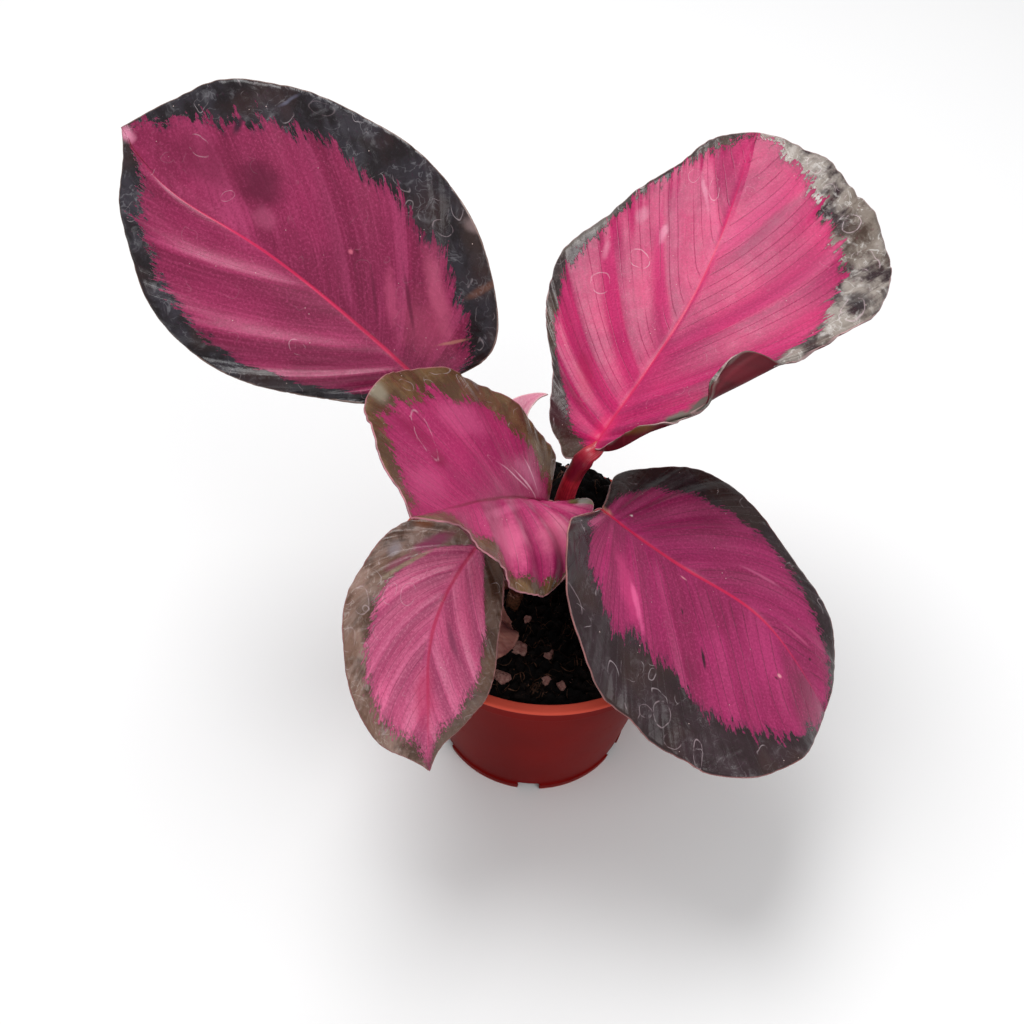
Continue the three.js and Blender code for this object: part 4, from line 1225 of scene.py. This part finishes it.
def pink_field(m, marks, veins, sheet, fold):
    """The coloured middle: fine-grained pink with darker bands, thin lines along the side veins, and painted
    shade and painted highlights on the faces of the folds.
    """
    pink, deep, pale = marks["field"]
    t, s, _ = m.split(veins)
    bands = m.noise(m.stretch(veins, 12, 0.5), 1, 3, 0.6)
    tissue = m.noise(m.stretch(veins, 150, 3), 1, 3, 0.6)
    grain = m.noise(sheet, 21, 4, 0.75)
    body = m.tint(pink, m.noise(sheet, 0.6), 0.36, 0.66, 0.5, deep)
    for value, low, high, strength, tone in (
        (bands, 0.46, 0.72, 0.6, deep), (bands, 0.48, 0.28, 0.3, pale),
        # Painted shade and painted highlight on the two faces of each fold.
        (fold, 0, -0.8, 0.6, deep), (fold, 0.2, 1, 0.42, pale),
        (tissue, 0.48, 0.66, 0.16, pale), (tissue, 0.5, 0.34, 0.16, deep),
        (grain, 0.5, 0.68, 0.4, pale), (grain, 0.5, 0.34, 0.48, deep),
    ):
        body = m.tint(body, value, low, high, strength, tone)
    wander = m.times(m.noise(m.stretch(veins, 4, 2), 1, 1), 0.014)
    line = m.size(m.math("SINE", m.times(m.add(t, wander), math.pi * VEIN_LINES)))
    broken = m.step(m.noise(m.stretch(veins, 26, 1.5, 1, (3, 1, 0)), 1, 1), 0.36, 0.56)
    strength = m.times(m.times(m.step(line, 0.2, 0.03), broken), m.step(m.size(s), 0.02, 0.1))
    line_part = m.times(strength, marks["lines"])
    return m.mix(line_part, body, [c * 0.5 for c in deep]), line_part, grain


def outer_zone(m, marks, right, strokes, sheet, flecks):
    """The dark margin with its uneven greyish or brownish film, part pigment and part painted sheen, and
    fine wrinkles with painted highlights.
    """
    bloom_and_sheen = marks["bloom_and_sheen"]
    # A lightened copy of the film's tone, for the painted highlights.
    light = [c + (255 - c) * 0.5 for c in bloom_and_sheen]
    # The film: part pigment, part painted sheen.
    film_and_sheen = m.noise(m.warped(sheet, 1.4, 0.3), 1.5, 4, 0.6)
    film_and_sheen = m.add(film_and_sheen, m.times(m.add(strokes, -0.5), 0.25))
    body = m.tint(marks["margin"], film_and_sheen, 0.4, 0.6, m.blend(right, *marks["film_and_sheen"]), bloom_and_sheen)
    browner = m.noise(m.stretch(sheet, 1, 1, 1, (4, 4, 0)), 0.9)
    body = m.tint(body, browner, 0.46, 0.62, 0.5, marks["tinge"])
    body = m.tint(body, m.noise(sheet, 22, 3, 0.7), 0.52, 0.72, 0.25, bloom_and_sheen)
    # Painted highlights on the film's wrinkles, as pale veils and thin crease lines.
    wrinkle_highlights = m.times(m.blend(right, *marks["crease_highlights"]), 0.7)
    veil_highlights = m.noise(m.warped(m.stretch(sheet, 1, 1, 1, (7, 1, 0)), 2, 0.4), 4, 4, 0.65, 0.4)
    body = m.tint(body, veil_highlights, 0.54, 0.74, wrinkle_highlights, light)
    crease_highlights = m.size(m.add(m.noise(m.warped(sheet, 3, 0.12), 2.2, 3, 0.6, 0.6), -0.5))
    body = m.tint(body, crease_highlights, 0.014, 0.002, m.times(m.step(film_and_sheen, 0.46, 0.6), wrinkle_highlights), light)
    return m.tint(body, flecks, 0.6, 0.7, 0.3, marks["dusk"])


def upper_face(name, marks):
    """Pink middle with painted light and shade on its folds, ending in brush strokes along the side veins;
    dark glossy margin whose film is part painted sheen; red midrib.
    """
    m = Shader(f"{name}_upper")
    veins = m.map("veins")
    sheet = m.map("sheet")
    # fold is the painted light and shade of the folds.
    fold, side, _ = m.split(m.map("folds"))
    along = m.split(sheet)[0]
    reach, edge, _ = m.split(m.map("zone"))
    right = m.step(side, -0.2, 0.2)

    strokes = m.noise(m.stretch(veins, 55, 3), 1, 5, 0.66)
    lobes = m.noise(m.stretch(veins, 14, 1.3, 1, (1, 2, 0)), 1)
    flecks = m.noise(m.stretch(veins, 260, 42), 1)
    islands = m.noise(m.stretch(veins, 120, 18), 1, 3, 0.65)
    lengths = (m.blend(right, *marks["strokes"]), m.blend(right, *marks["lobes"]), *FLECKS)
    fringe = reach
    for uneven, length in zip((strokes, lobes, islands, flecks), lengths):
        fringe = m.add(fringe, m.times(m.add(uneven, -0.5), length))
    pink_part = m.step(fringe, -marks["soft"], marks["soft"])

    field, line_part, grain = pink_field(m, marks, veins, sheet, fold)
    field = m.tint(field, fringe, 2, 0, 0.45, marks["dusk"])
    surface = m.mix(pink_part, outer_zone(m, marks, right, strokes, sheet, flecks), field)

    ragged = m.noise(sheet, 3.5, 3, 0.6)
    surface = spotted(m, surface, sheet, marks["spots"], ragged)
    rib_tone, rib_strength = marks["rib"]
    rib_width = m.math("MAXIMUM", m.add(0.055, m.times(along, -0.0068)), 0.012)
    rib_part = m.step(m.math("DIVIDE", m.times(m.size(side), 0.1), rib_width), 1.1, 0.35)
    full = (LEAVES[name]["length"] + LEAVES[name]["tip"]) / 10
    surface = m.tint(surface, along, 1.05 * full, 0.5 * full, m.times(rib_part, rib_strength), rib_tone)

    rings = m.size(m.add(m.cells(m.warped(sheet, 1.7, 0.55), 2.3), -0.34))
    broken = m.step(m.noise(m.stretch(sheet, 1, 1, 1, (3, 5, 0)), 2.6, 3), 0.5, 0.62)
    curl_part = m.times(m.times(m.step(rings, 0.02, 0.004), broken), m.blend(pink_part, *marks["scrawl"]))
    surface = m.mix(curl_part, surface, CURL_TONE)
    surface = looped(m, surface, sheet, marks["loops"], ragged)
    speck_part = m.times(m.step(ragged, 0.54, 0.6), 0.6)
    surface = m.tint(surface, m.cells(sheet, 7), 0.075, 0.045, speck_part, SPECK_TONE)
    surface = m.tint(surface, edge, 0.22, 0.08, 0.6, marks["edge"])

    wrinkles = m.noise(sheet, 2.8, 3, 0.55, 1.2)
    height = m.add(m.times(line_part, -0.6), m.times(grain, 0.14))
    height = m.add(height, m.times(wrinkles, m.blend(pink_part, 1.8, 0.35)))
    height = m.add(height, m.times(curl_part, 0.8))
    shine = m.add(m.blend(pink_part, 0.3, 0.4), m.times(m.add(ragged, -0.5), 0.3))
    return m.finish(surface, shine, m.bump(height, 0.5, 0.00025), 0.36)


def lower_face(name, marks):
    """Dark maroon underside with paler side veins and a greyer margin."""
    m = Shader(f"{name}_lower")
    veins = m.map("veins")
    sheet = m.map("sheet")
    across = m.times(m.split(m.map("folds"))[1], 0.1)
    edge = m.split(m.map("zone"))[1]
    dark, light = marks["field"][1:] if name in ("leaf_6", "leaf_7") else UNDERSIDE
    shade = m.noise(sheet, 1.2, 3, 0.6, 0.5)
    line = m.size(m.math("SINE", m.times(m.split(veins)[0], math.pi * VEIN_LINES / 2)))
    line_part = m.times(m.step(line, 0.3, 0.05), 0.2)
    body = m.mix(line_part, m.mix(m.step(shade, 0.35, 0.7), dark, light), UNDER_VEIN)
    body = m.tint(body, m.size(across), 0.12, 0.06, 0.7, UNDER_RIB)
    body = m.tint(body, m.add(edge, m.times(shade, 1.2)), 0.9, 0.5, 0.35, marks["bloom_and_sheen"])
    body = spotted(m, body, sheet, marks.get("under", ()), shade)
    grain = m.noise(m.stretch(veins, 90, 60), 1)
    normal = m.bump(m.add(m.times(grain, 0.3), m.times(line_part, 0.8)), 0.5, 0.0002)
    return m.finish(body, m.blend(shade, 0.45, 0.6), normal, 0.2)


def edge_face(name, marks):
    """The thin strip between a leaf's two faces."""
    m = Shader(f"{name}_edge")
    tone = m.noise(m.map("sheet"), 3)
    darker = [c * 0.72 for c in marks["edge"]]
    return m.finish(m.mix(m.step(tone, 0.35, 0.65), darker, marks["edge"]), 0.5)


def stalk_material(name, old):
    """Streaked along the stalk, darker at the swollen joint, dry at the foot."""
    m = Shader(name)
    length, _, _ = m.split(m.map("along"))
    streaks = m.noise(m.stretch(m.map("along"), 3, 26), 1, 3, 0.6)
    uneven = m.add(m.times(streaks, 0.7), m.times(m.noise(m.place(), 900), 0.3))
    body = m.mix(m.step(uneven, 0.38, 0.66), *(OLD_STALK if old else STALK))
    body = m.tint(body, m.size(m.add(length, -0.88)), 0.14, 0.08, 0.75, JOINT_TONE)
    body = m.tint(body, length, 0.2, 0.02, 0.6, STALK_FOOT)
    return m.finish(body, m.blend(streaks, 0.25, 0.42), m.bump(streaks, 0.35, 0.0002))


def pot_material():
    """Moulded plastic, with painted light on the top of the lip, paler at the very foot, and a little dust.
    """
    m = Shader("pot_plastic")
    place = m.place()
    z = m.split(place)[2]
    cloud = m.noise(place, 45)
    dust = m.noise(place, 700, 3, 0.7)
    drawn = m.noise(m.stretch(place, 260, 260, 12), 1, 2, 0.6)
    body = m.mix(m.step(cloud, 0.3, 0.7), *POT)
    # Painted light on the top of the lip.
    body = m.tint(body, z, 0.0437, 0.0449, 0.85, LIT_LIP_TONE)
    body = m.tint(body, z, 0.0012, 0.0002, 0.4, POT_FOOT)
    body = m.tint(body, dust, 0.66, 0.8, 0.1, DUST_TONE)
    shine = m.add(m.blend(cloud, 0.34, 0.44), m.times(m.step(dust, 0.55, 0.8), 0.1))
    height = m.add(m.times(cloud, 2), m.add(m.times(drawn, 0.25), m.times(dust, 0.05)))
    return m.finish(body, shine, m.bump(height, 0.2, 0.0003), 0.02)


def rough_material(name, low, high, scale):
    """Matt and coarse, for the peat and for all that lies or grows in it."""
    m = Shader(name)
    place = m.place()
    clumps = m.noise(place, scale, 4, 0.65)
    fine = m.noise(place, scale * 5, 3, 0.7)
    uneven = m.add(m.times(clumps, 0.6), m.times(fine, 0.4))
    normal = m.bump(m.add(clumps, m.times(fine, 0.5)), 0.8, 0.0005)
    return m.finish(m.mix(m.step(uneven, 0.4, 0.68), low, high), m.blend(fine, 0.6, 0.95), normal, 0.15)


def floor_material():
    m = Shader("floor")
    return m.finish(m.mix(m.noise(m.place(), 3, 3), *FLOOR), 0.75)


# Stage


def make_camera():
    data = bpy.data.cameras.new("camera")
    data.sensor_fit = "HORIZONTAL"
    data.sensor_width = 36
    data.lens = CAMERA_LENS
    data.clip_start = 0.01
    camera = bpy.data.objects.new("camera", data)
    down = math.radians(CAMERA_DOWN)
    ahead = Vector((0, math.cos(down), -math.sin(down)))
    right = Vector((1, 0, 0))
    up = right.cross(ahead)
    roll = math.radians(CAMERA_ROLL)
    camera_x = math.cos(roll) * right + math.sin(roll) * up
    camera_y = -math.sin(roll) * right + math.cos(roll) * up
    turn = Matrix((camera_x, camera_y, -ahead)).transposed().to_4x4()
    camera.matrix_world = Matrix.Translation(Vector(CAMERA_PLACE) * MM) @ turn
    bpy.context.scene.collection.objects.link(camera)
    bpy.context.scene.camera = camera


def make_light(name, place, size, watts):
    data = bpy.data.lights.new(name, "AREA")
    data.shape = "DISK"
    data.size = size
    data.energy = watts
    light = bpy.data.objects.new(name, data)
    light.location = place
    light.rotation_euler = (Vector(LIGHT_AIM) - Vector(place)).to_track_quat("-Z", "Y").to_euler()
    bpy.context.scene.collection.objects.link(light)


def make_stage():
    angles = [TURN * k / FLOOR_SIDES for k in range(FLOOR_SIDES)]
    vertices = [(FLOOR_RADIUS * math.cos(a), FLOOR_RADIUS * math.sin(a), 0) for a in angles]
    floor = new_object("floor", vertices, [tuple(range(FLOOR_SIDES))], [floor_material()])
    world = bpy.data.worlds.new("studio")
    world.use_nodes = True
    background = world.node_tree.nodes["Background"]
    background.inputs["Color"].default_value = (1, 1, 1, 1)
    background.inputs["Strength"].default_value = SKY
    bpy.context.scene.world = world
    for light in LIGHTS:
        make_light(*light)
    bpy.context.scene.view_settings.view_transform = "Standard"


# The whole


make_camera()
make_stage()
skin = rough_material("sheath_skin", *SHEATH, 700)
for leaf_name, leaf in LEAVES.items():
    faces = [face(leaf_name, MARKINGS[leaf_name]) for face in (upper_face, lower_face, edge_face)]
    size = SMALL_GRID if leaf["length"] < SMALL_LENGTH else BLADE_GRID
    old = leaf_name == "leaf_7"
    blade = make_blade(f"{leaf_name}_surface", leaf, *size, faces)
    add_piece(blade, "old_leaf" if old else "leaf", f"{leaf_name}_blade")
    stem = make_stalk(f"{leaf_name}_stem", leaf, stalk_material(f"{leaf_name}_stem", old))
    sheath = make_sheath(f"{leaf_name}_sheath", leaf, skin)
    add_piece(sheath, "stalk")
    add_piece(stem, "old_leaf" if old else "stalk", f"{leaf_name}_stalk")
make_pot(pot_material())
make_peat(rough_material("peat", *PEAT, 900))
make_crumbs(rough_material("peat_crumbs", *CRUMB, 1200))
make_fibres(rough_material("peat_fibres", *FIBRE, 500))
make_pumice(rough_material("pumice", *GRAIN, 1500))
make_crown(rough_material("crown", *ROOTSTOCK, 500))
